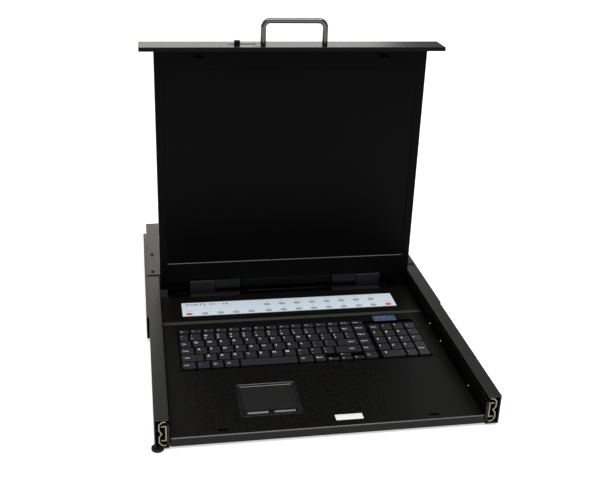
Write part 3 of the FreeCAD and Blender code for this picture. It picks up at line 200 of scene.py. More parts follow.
def tube(path, radius, steps):
    """Round bar along a path in a plane of constant y: p + r (n cos t + y sin t), n square to the path."""
    along = np.gradient(path, axis=0)
    along /= np.linalg.norm(along, axis=1, keepdims=True)
    depth = np.array([0.0, 1.0, 0.0])
    across = np.cross(depth, along)
    angle = 2 * math.pi * np.arange(steps) / steps
    outward = across[:, None] * np.cos(angle)[:, None] + depth * np.sin(angle)[:, None]
    return ring_stacks((path[:, None] + radius * outward)[None])


def at_heights(flat, heights):
    """Rings (..., rings, points, 3) from flat rings and one height for each."""
    z = np.broadcast_to(np.asarray(heights)[:, None, None], (*flat.shape[:-1], 1))
    return np.concatenate([flat, z], axis=-1)


def piece(name, shape, material, body, replaced=()):
    """Object from points and faces that rides on a body and may stand for CAD nodes."""
    points, faces = shape
    mesh = bpy.data.meshes.new(name)
    mesh.from_pydata(points.tolist(), [], faces)
    mesh.update()
    mesh.shade_smooth()
    mesh.set_sharp_from_angle(angle=math.radians(38))
    mesh.materials.append(material)
    thing = bpy.data.objects.new(name, mesh)
    bpy.context.scene.collection.objects.link(thing)
    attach(thing, body)
    if replaced:
        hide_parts(*replaced)
    return thing


def box_of(node):
    """Lowest and highest corner of a CAD node as arrays."""
    low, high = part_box(node)
    return np.array(low), np.array(high)


def plate(low, high, corner, edge):
    """Flat plate between two corners, with rounded corners and a small rounded upper edge."""
    low, high = np.array(low), np.array(high)
    half = (high - low) / 2
    inset = np.array([0.0, 0.0, 0.3, 1.0]) * edge
    heights = np.array([low[2], high[2] - edge, high[2] - 0.3 * edge, high[2]])
    flat = corner_rings(half[0] - inset, half[1] - inset, np.maximum(corner - inset, 1e-5), 5)
    return ring_stacks(at_heights(flat + ((low + high) / 2)[:2], heights)[None])


def merged(shapes):
    """Several shapes as one set of points and faces."""
    points = []
    faces = []
    for more_points, more_faces in shapes:
        shift = sum(len(part) for part in points)
        points.append(more_points)
        faces += [[corner + shift for corner in face] for face in more_faces]
    return np.concatenate(points), faces


WORDS = {}
# Thickens the strokes of the font, at its own size.
STROKE_OFFSET = 0.006


def word_shape(text):
    """Flat mesh of a word, at the font's own size, with its left edge at the origin."""
    if text not in WORDS:
        data = bpy.data.curves.new("word", "FONT")
        data.body = text
        data.resolution_u = 2
        data.offset = STROKE_OFFSET
        writing = bpy.data.objects.new("word", data)
        mesh = bpy.data.meshes.new_from_object(writing)
        mesh.calc_loop_triangles()
        points = np.empty(len(mesh.vertices) * 3)
        mesh.vertices.foreach_get("co", points)
        points = points.reshape(-1, 3)
        corners = np.empty(len(mesh.loop_triangles) * 3, dtype=np.int32)
        mesh.loop_triangles.foreach_get("vertices", corners)
        points[:, 0] -= points[:, 0].min()
        WORDS[text] = (points, corners.reshape(-1, 3).tolist())
        bpy.data.meshes.remove(mesh)
        bpy.data.objects.remove(writing)
        bpy.data.curves.remove(data)
    return WORDS[text]


def written(text, height, place, centred=False):
    """Word with capitals of a height, its lower left corner or its lower middle at a place."""
    capital = 0.7
    points, faces = word_shape(text)
    points = points * height / capital
    if centred:
        points = points - [points[:, 0].max() / 2, 0, 0]
    return points + np.array(place), faces


# Materials

# Most of a noise texture's values lie between these two.
NOISE_LOW = 0.3
NOISE_HIGH = 0.7


def add(tree, kind, settings=None, **links):
    """New node of a kind: settings go to its inputs or attributes, links join sockets to its inputs."""
    node = tree.nodes.new(kind)
    for name, value in (settings or {}).items():
        if name in node.inputs:
            node.inputs[name].default_value = value
        else:
            setattr(node, name, value)
    for name, socket in links.items():
        tree.links.new(socket, node.inputs[name.replace("_", " ")])
    return node


def finish(name, colour, roughness, **settings):
    """Material with its shader set: returns the material, its tree and the shader."""
    material = bpy.data.materials.new(name)
    material.use_nodes = True
    shader = material.node_tree.nodes["Principled BSDF"]
    shader.inputs["Base Color"].default_value = colour
    shader.inputs["Roughness"].default_value = roughness
    for socket, value in settings.items():
        shader.inputs[socket.replace("_", " ")].default_value = value
    material.diffuse_color = colour
    return material, material.node_tree, shader


def grain(tree, millimetres, detail=2.0, stretch=(1.0, 1.0, 1.0)):
    """Noise on the object's own coordinates, its grains of a size in millimetres."""
    place = add(tree, "ShaderNodeTexCoord").outputs["Object"]
    scaled = add(tree, "ShaderNodeMapping", {"Scale": stretch}, Vector=place).outputs["Vector"]
    return add(tree, "ShaderNodeTexNoise", {"Scale": 1 / (millimetres * MM), "Detail": detail},
               Vector=scaled).outputs["Fac"]


def spread(tree, source, low, high):
    """Noise spread to a range of values."""
    settings = {"From Min": NOISE_LOW, "From Max": NOISE_HIGH, "To Min": low, "To Max": high}
    return add(tree, "ShaderNodeMapRange", settings, Value=source).outputs["Result"]


def bump(tree, shader, source, millimetres, strength):
    """Relief of a depth in millimetres on the shader."""
    relief = add(tree, "ShaderNodeBump", {"Strength": strength, "Distance": millimetres * MM}, Height=source)
    tree.links.new(relief.outputs["Normal"], shader.inputs["Normal"])


def mottled(tree, shader, source, first, second):
    """Base colour between two colours, by a noise."""
    ramp = add(tree, "ShaderNodeValToRGB", Fac=source)
    ramp.color_ramp.elements[0].position = NOISE_LOW
    ramp.color_ramp.elements[0].color = first
    ramp.color_ramp.elements[1].position = NOISE_HIGH
    ramp.color_ramp.elements[1].color = second
    tree.links.new(ramp.outputs["Color"], shader.inputs["Base Color"])


def shade(colour, factor):
    """Colour made lighter or darker by a factor."""
    return (*(min(1.0, part * factor) for part in colour[:3]), 1.0)


def powder_coat(name, colour, reflects):
    """Powder coat baked on sheet steel: a fine orange peel that breaks up every highlight."""
    material, tree, shader = finish(name, colour, 0.4, Specular_IOR_Level=reflects)
    # The real peel is about 0.4 mm, too fine for the render, so it is drawn at 2.2 mm.
    peel = grain(tree, 2.2)
    tree.links.new(spread(tree, peel, 0.3, 0.5), shader.inputs["Roughness"])
    mottled(tree, shader, peel, shade(colour, 0.6), shade(colour, 1.7))
    bump(tree, shader, peel, 0.06, 0.35)
    return material


def moulded_plastic(name, colour, roughness, millimetres, depth, reflects=0.3, variation=0.15):
    """Injection-moulded plastic with the mould's fine grain, a soft even sheen."""
    material, tree, shader = finish(name, colour, roughness, Specular_IOR_Level=reflects)
    texture = grain(tree, millimetres)
    tree.links.new(spread(tree, texture, roughness - 0.05, roughness + 0.05), shader.inputs["Roughness"])
    mottled(tree, shader, texture, shade(colour, 1 - variation), shade(colour, 1 + variation))
    bump(tree, shader, texture, depth, 0.3)
    return material


def plated_metal(name, colour, roughness, millimetres):
    """Plated or rolled metal: bright, with faint drawn streaks along the part's depth."""
    material, tree, shader = finish(name, colour, roughness, Metallic=1.0)
    streaks = grain(tree, millimetres, 3.0, (1.0, 0.05, 1.0))
    tree.links.new(spread(tree, streaks, roughness - 0.06, roughness + 0.12), shader.inputs["Roughness"])
    mottled(tree, shader, streaks, shade(colour, 0.8), colour)
    return material


def printed_ink(name, colour):
    """Pad-printed ink: flat colour with a slightly uneven cover."""
    material, tree, shader = finish(name, colour, 0.5)
    mottled(tree, shader, grain(tree, 0.6), shade(colour, 0.85), colour)
    return material


def lit_lamp(name, colour, strength):
    """Small lamp that glows through a tinted lens."""
    material, tree, shader = finish(name, colour, 0.3, Emission_Color=colour, Emission_Strength=strength)
    mottled(tree, shader, grain(tree, 0.8), shade(colour, 0.8), colour)
    return material


def dress(names, material):
    """Gives CAD nodes a material in every slot."""
    for name in names:
        slots = NODES[name].data.materials
        if not slots:
            slots.append(material)
        for place in range(len(slots)):
            slots[place] = material


class CONSOLE_OT_metalwork(bpy.types.Operator):
    """Finishes of the sheet metal, the slides, the rear box and the lid's shell"""

    bl_idname = "console.metalwork"
    bl_label = "Metalwork"

    def execute(self, context):
        colours = context.scene.console_colours
        sheet = powder_coat("powder_coated_sheet_steel", colours.coat[:], COAT_SHEEN)
        dress(["tray", "bottom_pan", "drawer_side_left", "drawer_side_right", "rear_deck", "lid_back",
               "switch_case", "switch_cover"], sheet)
        dress(["rail_left", "rail_right", "rear_rails", "bracket_sleeves", "tie_plate"],
              powder_coat("powder_coated_rail_steel", colours.rails[:], RAIL_SHEEN))
        zinc = plated_metal("zinc_plated_rolled_steel", colours.zinc[:], 0.32, 1.2)
        dress(["slide_outer_left", "slide_outer_right", "slide_inner_left", "slide_inner_right",
               "ball_cage_left", "ball_cage_right", "hinge_pins"], zinc)
        dress(["panel_screws"], plated_metal("black_oxide_steel", linear("#2a2a2c"), 0.38, 0.8))
        dress(["pc_ports", "lan_port"], plated_metal("nickel_plated_shell", linear("#c9c6bf"), 0.25, 0.9))
        dress(["power_supply"], plated_metal("folded_aluminium", linear("#c4c6c9"), 0.4, 1.2))
        dress(["front_panel"],
              moulded_plastic("satin_painted_aluminium", colours.panel[:], 0.3, 1.0, 0.01, 0.12))
        return {"FINISHED"}


class CONSOLE_OT_mouldings(bpy.types.Operator):
    """Finishes of the plastic and rubber pieces and the screen"""

    bl_idname = "console.mouldings"
    bl_label = "Mouldings"

    def execute(self, context):
        colours = context.scene.console_colours
        dress(["keyboard_base", "lcd_module", "power_inlet", "latch_knob"],
              moulded_plastic("moulded_abs", colours.plastic[:], 0.42, 1.2, 0.03, 0.1))
        dress(["lid_bezel", "latch_bar"],
              moulded_plastic("matt_painted_abs", linear("#0a0a0a"), 0.45, 1.2, 0.02, 0.04))
        dress(["hinge_base_left", "hinge_base_right", "hinge_leaf_left", "hinge_leaf_right"],
              moulded_plastic("moulded_nylon", colours.hinges[:], 0.45, 1.2, 0.03))
        dress(["touch_surface"],
              moulded_plastic("etched_touch_plate", colours.touch_plate[:], 0.5, 0.9, 0.02))
        dress(["power_rocker"], moulded_plastic("gloss_abs", linear("#0b0b0d"), 0.15, 2.0, 0.005, 0.5))
        dress(["rubber_feet"], moulded_plastic("vulcanised_rubber", linear("#0f0f0f"), 0.75, 1.5, 0.05))
        dress(["lcd_glass"],
              moulded_plastic("anti_glare_screen_film", linear("#060607"), 0.36, 0.8, 0.005, 0.05))
        dress(["button_board", "display_board", "switch_board"],
              moulded_plastic("solder_mask_laminate", linear("#1d5a35"), 0.35, 2.0, 0.02))
        dress(["port_strip"],
              moulded_plastic("printed_polycarbonate_film", colours.overlay[:], 0.4, 3.0, 0.003, 0.3, 0.02))
        return {"FINISHED"}


# Keyboard: widths in key units, as on the solids, and the words on each key from the left

UNIT_RUNS = {
    "function_keys": [0.902] + [1] * 12 + [0.987, 1.045],
    "number_keys": [0.801] + [1] * 12 + [1.088, 1.045],
    "upper_letter_keys": [0.95] + [1] * 12 + [0.939, 1.045],
    "home_letter_keys": [1.114] + [1] * 11 + [1.775, 1.045],
    "lower_letter_keys": [1.777] + [1] * 10 + [2.112, 1.045],
}
BOTTOM_RUN = [1.119, 1.056, 0.971, 1.178, 4.419, 1.215, 0.939, 1.019, 1.019, 0.954, 1.045]
KEY_WORDS = {
    "function_keys": ["Esc"] + [f"F{number}" for number in range(1, 13)] + ["Prt Sc", "Pause"],
    "number_keys": ["~ `", *map(" ".join, zip("!@#$%^&*()_+", "1234567890-=")), "Bksp", "Home"],
    "upper_letter_keys": ["Tab"] + list("QWERTYUIOP") + ["{ [", "} ]", "| \\", "Pg Up"],
    "home_letter_keys": ["Caps"] + list("ASDFGHJKL") + [": ;", "\" '", "Enter", "Pg Dn"],
    "lower_letter_keys": ["Shift"] + list("ZXCVBNM") + ["< ,", "> .", "? /", "Shift", "End"],
    "bottom_keys": ["Ctrl", "Fn", "Sys", "Alt", "Alt", "Menu", "Ins", "<", "v", "^", ">"],
    "space_bar": [""],
    "numpad_keys": ["Num", "/", "*", "<-", *"789-456+1230.", "Enter"],
}
KEY_GAP = 1.6 * MM
KEY_INSET = 0.8 * MM
KEY_HEIGHT = 4.6 * MM
# Depths below a key's top between which its skirt, darker as painted shade, turns into its face.
SKIRT_TOP = 1.2 * MM
FACE_EDGE = 0.35 * MM
SKIRT_PAINTED_SHADE = 0.2


def run_edges(low, high, units):
    """Edges in x of keys side by side, from their widths in units."""
    edges = np.concatenate([[0], np.cumsum(units)])
    return low + (high - low) * edges / edges[-1]


def key_cells(node):
    """Cells of a node's keys as rows of (left, right, front, rear), read from the node's box."""
    low, high = box_of(node)
    left, right = low[0] - KEY_GAP / 2, high[0] + KEY_GAP / 2
    near, far = low[1] - KEY_GAP / 2, high[1] + KEY_GAP / 2
    if node == "space_bar":
        return np.array([[left, right, near, far]])
    if node == "bottom_keys":
        x = run_edges(left, right, BOTTOM_RUN)
        middle = (near + far) / 2
        whole = [(x[place], x[place + 1], near, far) for place in (0, 1, 2, 3, 5, 6, 10)]
        return np.array(whole + [(x[7], x[8], near, middle), (x[8], x[9], near, middle),
                                 (x[8], x[9], middle, far), (x[9], x[10], near, middle)])
    if node == "numpad_keys":
        x = np.linspace(left, right, 5)
        y = np.linspace(near, far, 6)
        cells = [(x[column], x[column + 1], y[row], y[row + 1]) for row in (4, 3, 2) for column in range(4)]
        cells += [(x[column], x[column + 1], y[1], y[2]) for column in range(3)]
        wide, point, tall = (x[0], x[2], y[0], y[1]), (x[2], x[3], y[0], y[1]), (x[3], x[4], y[0], y[2])
        return np.array(cells + [wide, point, tall])
    x = run_edges(left, right, UNIT_RUNS[node])
    return np.stack([x[:-1], x[1:], np.full(len(x) - 1, near), np.full(len(x) - 1, far)], axis=1)


def key_tops(cells):
    """Centres and half sizes of the keys' tops, drawn in from their cells."""
    centre = np.stack([cells[:, :2].mean(axis=1), cells[:, 2:].mean(axis=1)], axis=1)
    half = np.stack([cells[:, 1] - cells[:, 0], cells[:, 3] - cells[:, 2]], axis=1) / 2
    return centre, half - KEY_GAP / 2 - KEY_INSET


def dish(x, half, depth):
    """Hollow of a key's top at a distance x from its middle: d (1 - (x / a)^2)."""
    return depth * np.clip(1 - (x / half) ** 2, 0, 1)


def paint_shade_on_skirts(material, top):
    """Key material that is satin on top, with painted shade on the skirt, darker and less shiny, by the
    height on the object.
    """
    tree = material.node_tree
    shader = tree.nodes["Principled BSDF"]
    place = add(tree, "ShaderNodeTexCoord").outputs["Object"]
    height = add(tree, "ShaderNodeSeparateXYZ", Vector=place).outputs["Z"]
    settings = {"From Min": top - SKIRT_TOP, "From Max": top - FACE_EDGE,
                "To Min": SKIRT_PAINTED_SHADE, "To Max": 1.0}
    skirt_shade_fade = add(tree, "ShaderNodeMapRange", settings, Value=height).outputs["Result"]
    colour = shader.inputs["Base Color"].links[0].from_socket
    darker = add(tree, "ShaderNodeVectorMath", {"operation": "SCALE"}, Vector=colour, Scale=skirt_shade_fade)
    tree.links.new(darker.outputs["Vector"], shader.inputs["Base Color"])
    dull = add(tree, "ShaderNodeMath", {"operation": "MULTIPLY"}, Value=skirt_shade_fade)
    dull.inputs[1].default_value = shader.inputs["Specular IOR Level"].default_value
    tree.links.new(dull.outputs["Value"], shader.inputs["Specular IOR Level"])


class CONSOLE_OT_keys(bpy.types.Operator):
    """Key caps with rounded, slightly hollow tops"""

    bl_idname = "console.keys"
    bl_label = "Key caps"

    def execute(self, context):
        sizes, colours = context.scene.console_sizes, context.scene.console_colours
        plastic = moulded_plastic("abs_key_cap", colours.keys[:], 0.38, 0.8, 0.02, 0.4)
        # The keys' skirts get painted shade: darker and less shiny below the top.
        paint_shade_on_skirts(plastic, box_of("space_bar")[1][2])
        for node in KEY_WORDS:
            piece(node + "_caps", self.caps(node, sizes), plastic, BODY_OF[node], [node])
        return {"FINISHED"}

    def caps(self, node, sizes):
        """Stacks of rounded rectangles: skirt, rounded edge, then the top, lowered by the dish."""
        centre, half = key_tops(key_cells(node))
        top = box_of(node)[1][2]
        edge = sizes.key_edge
        grow = np.array([KEY_INSET, 0.1 * MM, -0.25 * edge, -edge])[:, None]
        shrink = np.array([0.62, 0.2])[:, None]
        heights = top - np.array([KEY_HEIGHT, edge, 0.2 * edge, 0.0, 0.0, 0.0])
        hollow = np.array([0.0, 0.0, 0.6, 1.0, 1.0, 1.0])
        ring_half = np.concatenate([half[:, None] + grow, half[:, None] * shrink], axis=1)
        corner = np.minimum(sizes.key_corner, ring_half.min(axis=2) * 0.8)
        flat = corner_rings(ring_half[..., 0], ring_half[..., 1], corner, 4)
        z = heights[:, None] - hollow[:, None] * dish(flat[..., 0], half[:, None, None, 0], sizes.key_dish)
        return ring_stacks(np.concatenate([flat + centre[:, None, None], z[..., None]], axis=-1))


class CONSOLE_OT_legends(bpy.types.Operator):
    """Printed letters, numbers and plain words on the keys"""

    bl_idname = "console.legends"
    bl_label = "Key legends"

    # Shares of a key top's half width and half depth, and the half width of a long key.
    left_share = 0.72
    upper_share = 0.68
    long_half = 14.0 * MM

    def execute(self, context):
        sizes, colours = context.scene.console_sizes, context.scene.console_colours
        inks = {"": printed_ink("white_legend_ink", colours.legends[:]),
                "_second": printed_ink("blue_legend_ink", colours.second_legends[:])}
        for node, words in KEY_WORDS.items():
            centre, half = key_tops(key_cells(node))
            top = box_of(node)[1][2]
            marks = {kind: [] for kind in inks}
            for place, text in enumerate(words):
                for kind, (points, faces) in self.marks(node, text, centre[place], half[place], sizes):
                    lowered = dish(points[:, 0], half[place, 0], sizes.key_dish)
                    points = points + [*centre[place], top + PRINT_LIFT]
                    points[:, 2] -= lowered
                    marks[kind].append((points, faces))
            for kind, ink in inks.items():
                if marks[kind]:
                    print_shape = merged(marks[kind])
                    piece(f"{node}{kind}_legends", print_shape, ink, BODY_OF[node])
        return {"FINISHED"}

    def marks(self, node, text, centre, half, sizes):
        """Words of one key, placed from the middle of its top, each with its ink."""
        if not text:
            return []
        left, upper = -self.left_share * half[0], self.upper_share * half[1]
        if half[0] > self.long_half and centre[0] > 0 and len(text) > 3:
            left = 0.1 * half[0]
        if node == "function_keys":
            marks = [("", written(text, 0.8 * sizes.word, (left, -0.3 * sizes.word, 0)))]
            if text[0] == "F":
                marks.append(("_second", written("o", sizes.word, (0.45 * half[0], -0.7 * sizes.word, 0))))
            return marks
        if len(text) == 3 and text[1] == " ":
            return [("", written(text[0], 0.75 * sizes.letter, (left, 0.2 * half[1], 0))),
                    ("", written(text[2], 0.8 * sizes.letter, (left, -0.75 * half[1], 0)))]
        if len(text) == 1:
            size = min(sizes.letter, 1.1 * half[1])
            return [("", written(text, size, (left, upper - size, 0)))]
        return [("_second" if text == "Fn" else "", written(text, sizes.word, (left, -0.4 * sizes.word, 0)))]


class CONSOLE_OT_keypad(bpy.types.Operator):
    """Domed keypad buttons with their printed rings and numbers"""

    bl_idname = "console.keypad"
    bl_label = "Port keypad"

    button_reach = 1.5 * MM
    button_radius = 2.7 * MM
    cap_radius = 2.5 * MM
    # The solid's round ends have three flats each, so its box stops short of the circle.
    end_reach = button_radius * math.cos(math.pi / 6)
    outline_steps = 20
    ring_gap = 0.25 * MM
    title_height = 5.4 * MM
    title_stretch = 0.35
    title_left = 7.0 * MM
    title_drop = 9.5 * MM
    lamp_rise = 6.6 * MM
    lamp_height = 0.15 * MM

    def execute(self, context):
        sizes, colours = context.scene.console_sizes, context.scene.console_colours
        ports, menus, reds = self.rows()
        grey = moulded_plastic("grey_silicone", colours.grey_button[:], 0.5, 1.0, 0.02)
        red = moulded_plastic("red_silicone", colours.red_button[:], 0.42, 1.0, 0.02)
        for node, places, rubber, slot in (("port_buttons", ports, grey, "grey_silicone"),
                                           ("menu_buttons", menus, grey, "grey_silicone"),
                                           ("power_buttons", reds, red, "red_silicone")):
            piece(node + "_caps", self.caps(node, places), rubber, BODY_OF[node], [node])
        self.print_marks(ports, menus, reds, sizes)
        self.lamp(ports[-1])
        return {"FINISHED"}

    def rows(self):
        """Centres of the buttons, from their nodes' boxes: ports in two rows, menu and red ones in one."""
        inset = self.button_reach + self.end_reach
        low, high = box_of("port_buttons")
        x = np.linspace(low[0] + inset, high[0] - inset, 8)
        near, far = low[1] + self.button_radius, high[1] - self.button_radius
        ports = np.array([(place, near) for place in x] + [(place, far) for place in x])
        low, high = box_of("menu_buttons")
        menus = np.array([(place, near) for place in np.linspace(low[0] + inset, high[0] - inset, 4)])
        low, high = box_of("power_buttons")
        return ports, menus, np.array([(low[0] + inset, near), (high[0] - inset, near)])

    def copies(self, rings, places):
        """The same rings at several places."""
        return rings[None] + np.pad(places, ((0, 0), (0, 1)))[:, None, None]

    def caps(self, node, places):
        """Stacks of ovals: a straight side, a rounded edge and a flat dome."""
        top = box_of(node)[1][2]
        radius = self.cap_radius - np.array([0.0, 0.0, 0.12, 0.5, 1.8]) * MM
        heights = top - np.array([0.7, 0.35, 0.15, 0.04, 0.0]) * MM
        flat = oval_rings(self.button_reach, radius, self.outline_steps)
        return ring_stacks(self.copies(at_heights(flat, heights), places))

    def print_marks(self, ports, menus, reds, sizes):
        """Flat rings round the buttons, numbers over the ports and plain signs over the others."""
        top = box_of("port_strip")[1][2] + PRINT_LIFT
        places = np.concatenate([ports, menus, reds])
        inner = self.button_radius + self.ring_gap
        flat = oval_rings(self.button_reach, [inner + sizes.button_ring, inner], self.outline_steps)
        rings = self.copies(at_heights(flat, [top, top]), places)
        start = np.arange(len(places))[:, None, None] * 2 * self.outline_steps
        quads = (grid_quads(2, self.outline_steps)[None] + start).reshape(-1, 4).tolist()
        ink = printed_ink("grey_print_ink", linear("#6f7a86"))
        piece("keypad_rings", (rings.reshape(-1, 3), quads), ink, BODY_OF["port_strip"])
        numbers = [f"{number:02d}" for number in (*range(9, 17), *range(1, 9))]
        signs = numbers + ["-", "+", "<", ">", "ON/OFF", "RESET"]
        words = [written(text, sizes.number, (x, y + sizes.number_rise, top), True)
                 for text, (x, y) in zip(signs, places)]
        piece("keypad_numbers", merged(words), ink, BODY_OF["port_strip"])
        self.title(top)

    def title(self, top):
        """Wide plain line at the strip's left that gives the range of its ports."""
        low, high = box_of("port_strip")
        place = (low[0] + self.title_left, high[1] - self.title_drop, top)
        points, faces = written("PORTS  01 - 16", self.title_height, place)
        points[:, 0] += self.title_stretch * (points[:, 0] - points[:, 0].min())
        ink = printed_ink("black_print_ink", linear("#2c3138"))
        piece("keypad_title", (points, faces), ink, BODY_OF["port_strip"])

    def lamp(self, button):
        """Small lit lamp behind the last port button."""
        middle = np.array([*button, box_of("port_strip")[1][2]]) + [0, self.lamp_rise, 0]
        reach = np.array([1.3, 0.9, 0.0]) * MM
        lens = plate(middle - reach, middle + reach + [0, 0, self.lamp_height], 0.85 * MM, 0.1 * MM)
        piece("port_lamp", lens, lit_lamp("lit_pink_lamp", linear("#ff8aa8"), 0.6), BODY_OF["port_strip"])


class CONSOLE_OT_touchpad(bpy.types.Operator):
    """Touchpad frame with a rounded rim, and its two glossy buttons"""

    bl_idname = "console.touchpad"
    bl_label = "Touchpad"

    bar_height = 1.5 * MM
    bar_margin = 3.2 * MM
    bar_front = 2.0 * MM
    bar_depth = 3.0 * MM
    bar_slope = 2.6 * MM
    bar_sunk = 0.2 * MM

    def execute(self, context):
        colours = context.scene.console_colours
        satin = moulded_plastic("satin_touchpad_abs", colours.touchpad[:], 0.22, 1.0, 0.01, 1.0)
        piece("touchpad_rim", self.rim(), satin, BODY_OF["touchpad_frame"],
              ["touchpad_frame"])
        gloss = moulded_plastic("gloss_touchpad_abs", colours.touchpad[:], 0.2, 2.0, 0.005, 0.8)
        for node in ("touchpad_button_left", "touchpad_button_right"):
            piece(node + "_bar", self.button(node), gloss, BODY_OF[node], [node])
        return {"FINISHED"}

    def rim(self):
        """Rounded rectangles from the underside up the body, over the bead and down the well to its floor."""
        low, high = box_of("touchpad_frame")
        half = (high - low) / 2
        inset = np.array([20.0, 2.5, 2.5, 0.0, 0.0, 0.1, 0.35, 0.8, 3.0, 4.5, 5.4, 5.5, 5.5, 20.0]) * MM
        drop = np.array([6.4, 6.4, 0.6, 0.6, 0.3, 0.08, 0.0, 0.3, 0.3, 0.35, 0.95, 2.2, 5.2, 5.2]) * MM
        corner = np.maximum(4.0 * MM - inset, 0.8 * MM)
        flat = corner_rings(half[0] - inset, half[1] - inset, corner, 6) + ((low + high) / 2)[:2]
        return ring_stacks(at_heights(flat, high[2] - drop)[None])

    def button(self, node):
        """Flat plate from stacked rounded rectangles, with a bar along it that slopes to the front."""
        low, high = box_of(node)
        plate_top = high - [0, 0, self.bar_height]
        front, foot = low[1] + self.bar_front, plate_top[2] - self.bar_sunk
        back = front + self.bar_depth
        section = [(front, foot), (back, foot), (back, high[2]), (front + self.bar_slope, high[2])]
        bar = strip(section, low[0] + self.bar_margin, high[0] - self.bar_margin)
        return merged([plate(low, plate_top, 0.8 * MM, 0.3 * MM), bar])


class CONSOLE_OT_handle(bpy.types.Operator):
    """Round pull handle bent from one bar, and the plain word beside the latch knob"""

    bl_idname = "console.handle"
    bl_label = "Pull handle"

    round_steps = 24
    word_height = 4.5 * MM
    word_left = 1.0 * MM
    word_front = 7.0 * MM

    def execute(self, context):
        sizes = context.scene.console_sizes
        bar = plated_metal("black_nickel_plated_bar", linear("#747474"), 0.12, 3.0)
        shape = tube(self.path(sizes), sizes.handle_radius, self.round_steps)
        piece("handle_bar", shape, bar, BODY_OF["pull_handle"], ["pull_handle"])
        knob, panel = box_of("latch_knob")[1], box_of("front_panel")
        place = (knob[0] - self.word_left, panel[0][1] + self.word_front, panel[1][2] + PRINT_LIFT)
        ink = printed_ink("white_panel_ink", linear("#f4f4f4"))
        piece("latch_word", written("LOCK", self.word_height, place), ink, BODY_OF["front_panel"])
        return {"FINISHED"}

    def path(self, sizes):
        """Centre line: a leg, a quarter turn, the grip, a quarter turn and a leg."""
        low, high = box_of("pull_handle")
        bend = sizes.handle_bend
        half = (high[0] - low[0]) / 2 - sizes.handle_radius
        middle = (low + high) / 2
        top = high[2] - sizes.handle_radius
        turn = np.linspace(0, math.pi / 2, 13)
        leg_z = np.linspace(low[2], top - bend, 8)[:-1]
        grip_x = np.linspace(-half + bend, 0, 7)[1:]
        x = np.concatenate([np.full(7, -half), -half + bend * (1 - np.cos(turn)), grip_x])
        z = np.concatenate([leg_z, top - bend * (1 - np.sin(turn)), np.full(6, top)])
        x = np.concatenate([x, -x[-2::-1]]) + middle[0]
        z = np.concatenate([z, z[-2::-1]])
        return np.stack([x, np.full(len(x), middle[1]), z], axis=1)


class CONSOLE_OT_labels(bpy.types.Operator):
    """Blank paper sticker on the tray and the label with the keyboard's lamps"""

    bl_idname = "console.labels"
    bl_label = "Labels"

    # Ranges in x from the middle, and in y from the tray's front edge.
    sticker_x = (8.0 * MM, 44.0 * MM)
    sticker_y = (12.6 * MM, 24.4 * MM)
    sticker_height = 0.15 * MM
    label_x = (120.5 * MM, 156.2 * MM)
    label_y = (261.0 * MM, 277.3 * MM)
    label_height = 0.25 * MM
    lamp_signs = ((128.0 * MM, "1"), (138.4 * MM, "A"), (148.8 * MM, "="))
    lamp_y = 265.3 * MM
    lamp_reach = 1.1 * MM
    lamp_height = 0.25 * MM
    sign_y = 270.2 * MM
    sign_height = 3.0 * MM

    def execute(self, context):
        colours = context.scene.console_colours
        body, slot = BODY_OF["tray"], "white_overlay_film"
        (_, front, _), (_, _, top) = box_of("tray")
        label_top = top + self.label_height
        paper = moulded_plastic("coated_paper", linear("#f6f7f5"), 0.5, 3.0, 0.01, 0.3, 0.03)
        sticker = self.sheet(self.sticker_x, self.sticker_y, top, self.sticker_height, 1.0 * MM, 0.05 * MM)
        piece("paper_sticker", sticker, paper, body)
        film = moulded_plastic("tinted_polyester_label", colours.lamp_label[:], 0.4, 4.0, 0.005, 0.3, 0.04)
        label = self.sheet(self.label_x, self.label_y, top, self.label_height, 1.2 * MM, 0.08 * MM)
        piece("lamp_label", label, film, body)
        lenses = merged([self.lens(x, label_top) for x, _ in self.lamp_signs])
        smoked = moulded_plastic("smoked_lens", linear("#3b4a5c"), 0.2, 2.0, 0.005, 0.5)
        piece("lamp_lenses", lenses, smoked, body)
        marks = [written(text, self.sign_height, (x, front + self.sign_y, label_top + PRINT_LIFT), True)
                 for x, text in self.lamp_signs]
        piece("lamp_marks", merged(marks), printed_ink("pale_print_ink", linear("#c5d0dc")), body)
        return {"FINISHED"}

    def sheet(self, x, y, foot, thickness, corner, edge):
        """Thin plate on the tray, its y counted from the tray's front edge."""
        front = box_of("tray")[0][1]
        return plate((x[0], front + y[0], foot), (x[1], front + y[1], foot + thickness), corner, edge)

    def lens(self, x, foot):
        """Round lens of a lamp on the label."""
        reach = self.lamp_reach
        return self.sheet((x - reach, x + reach), (self.lamp_y - reach, self.lamp_y + reach), foot,
                          self.lamp_height, 1.05 * MM, 0.15 * MM)


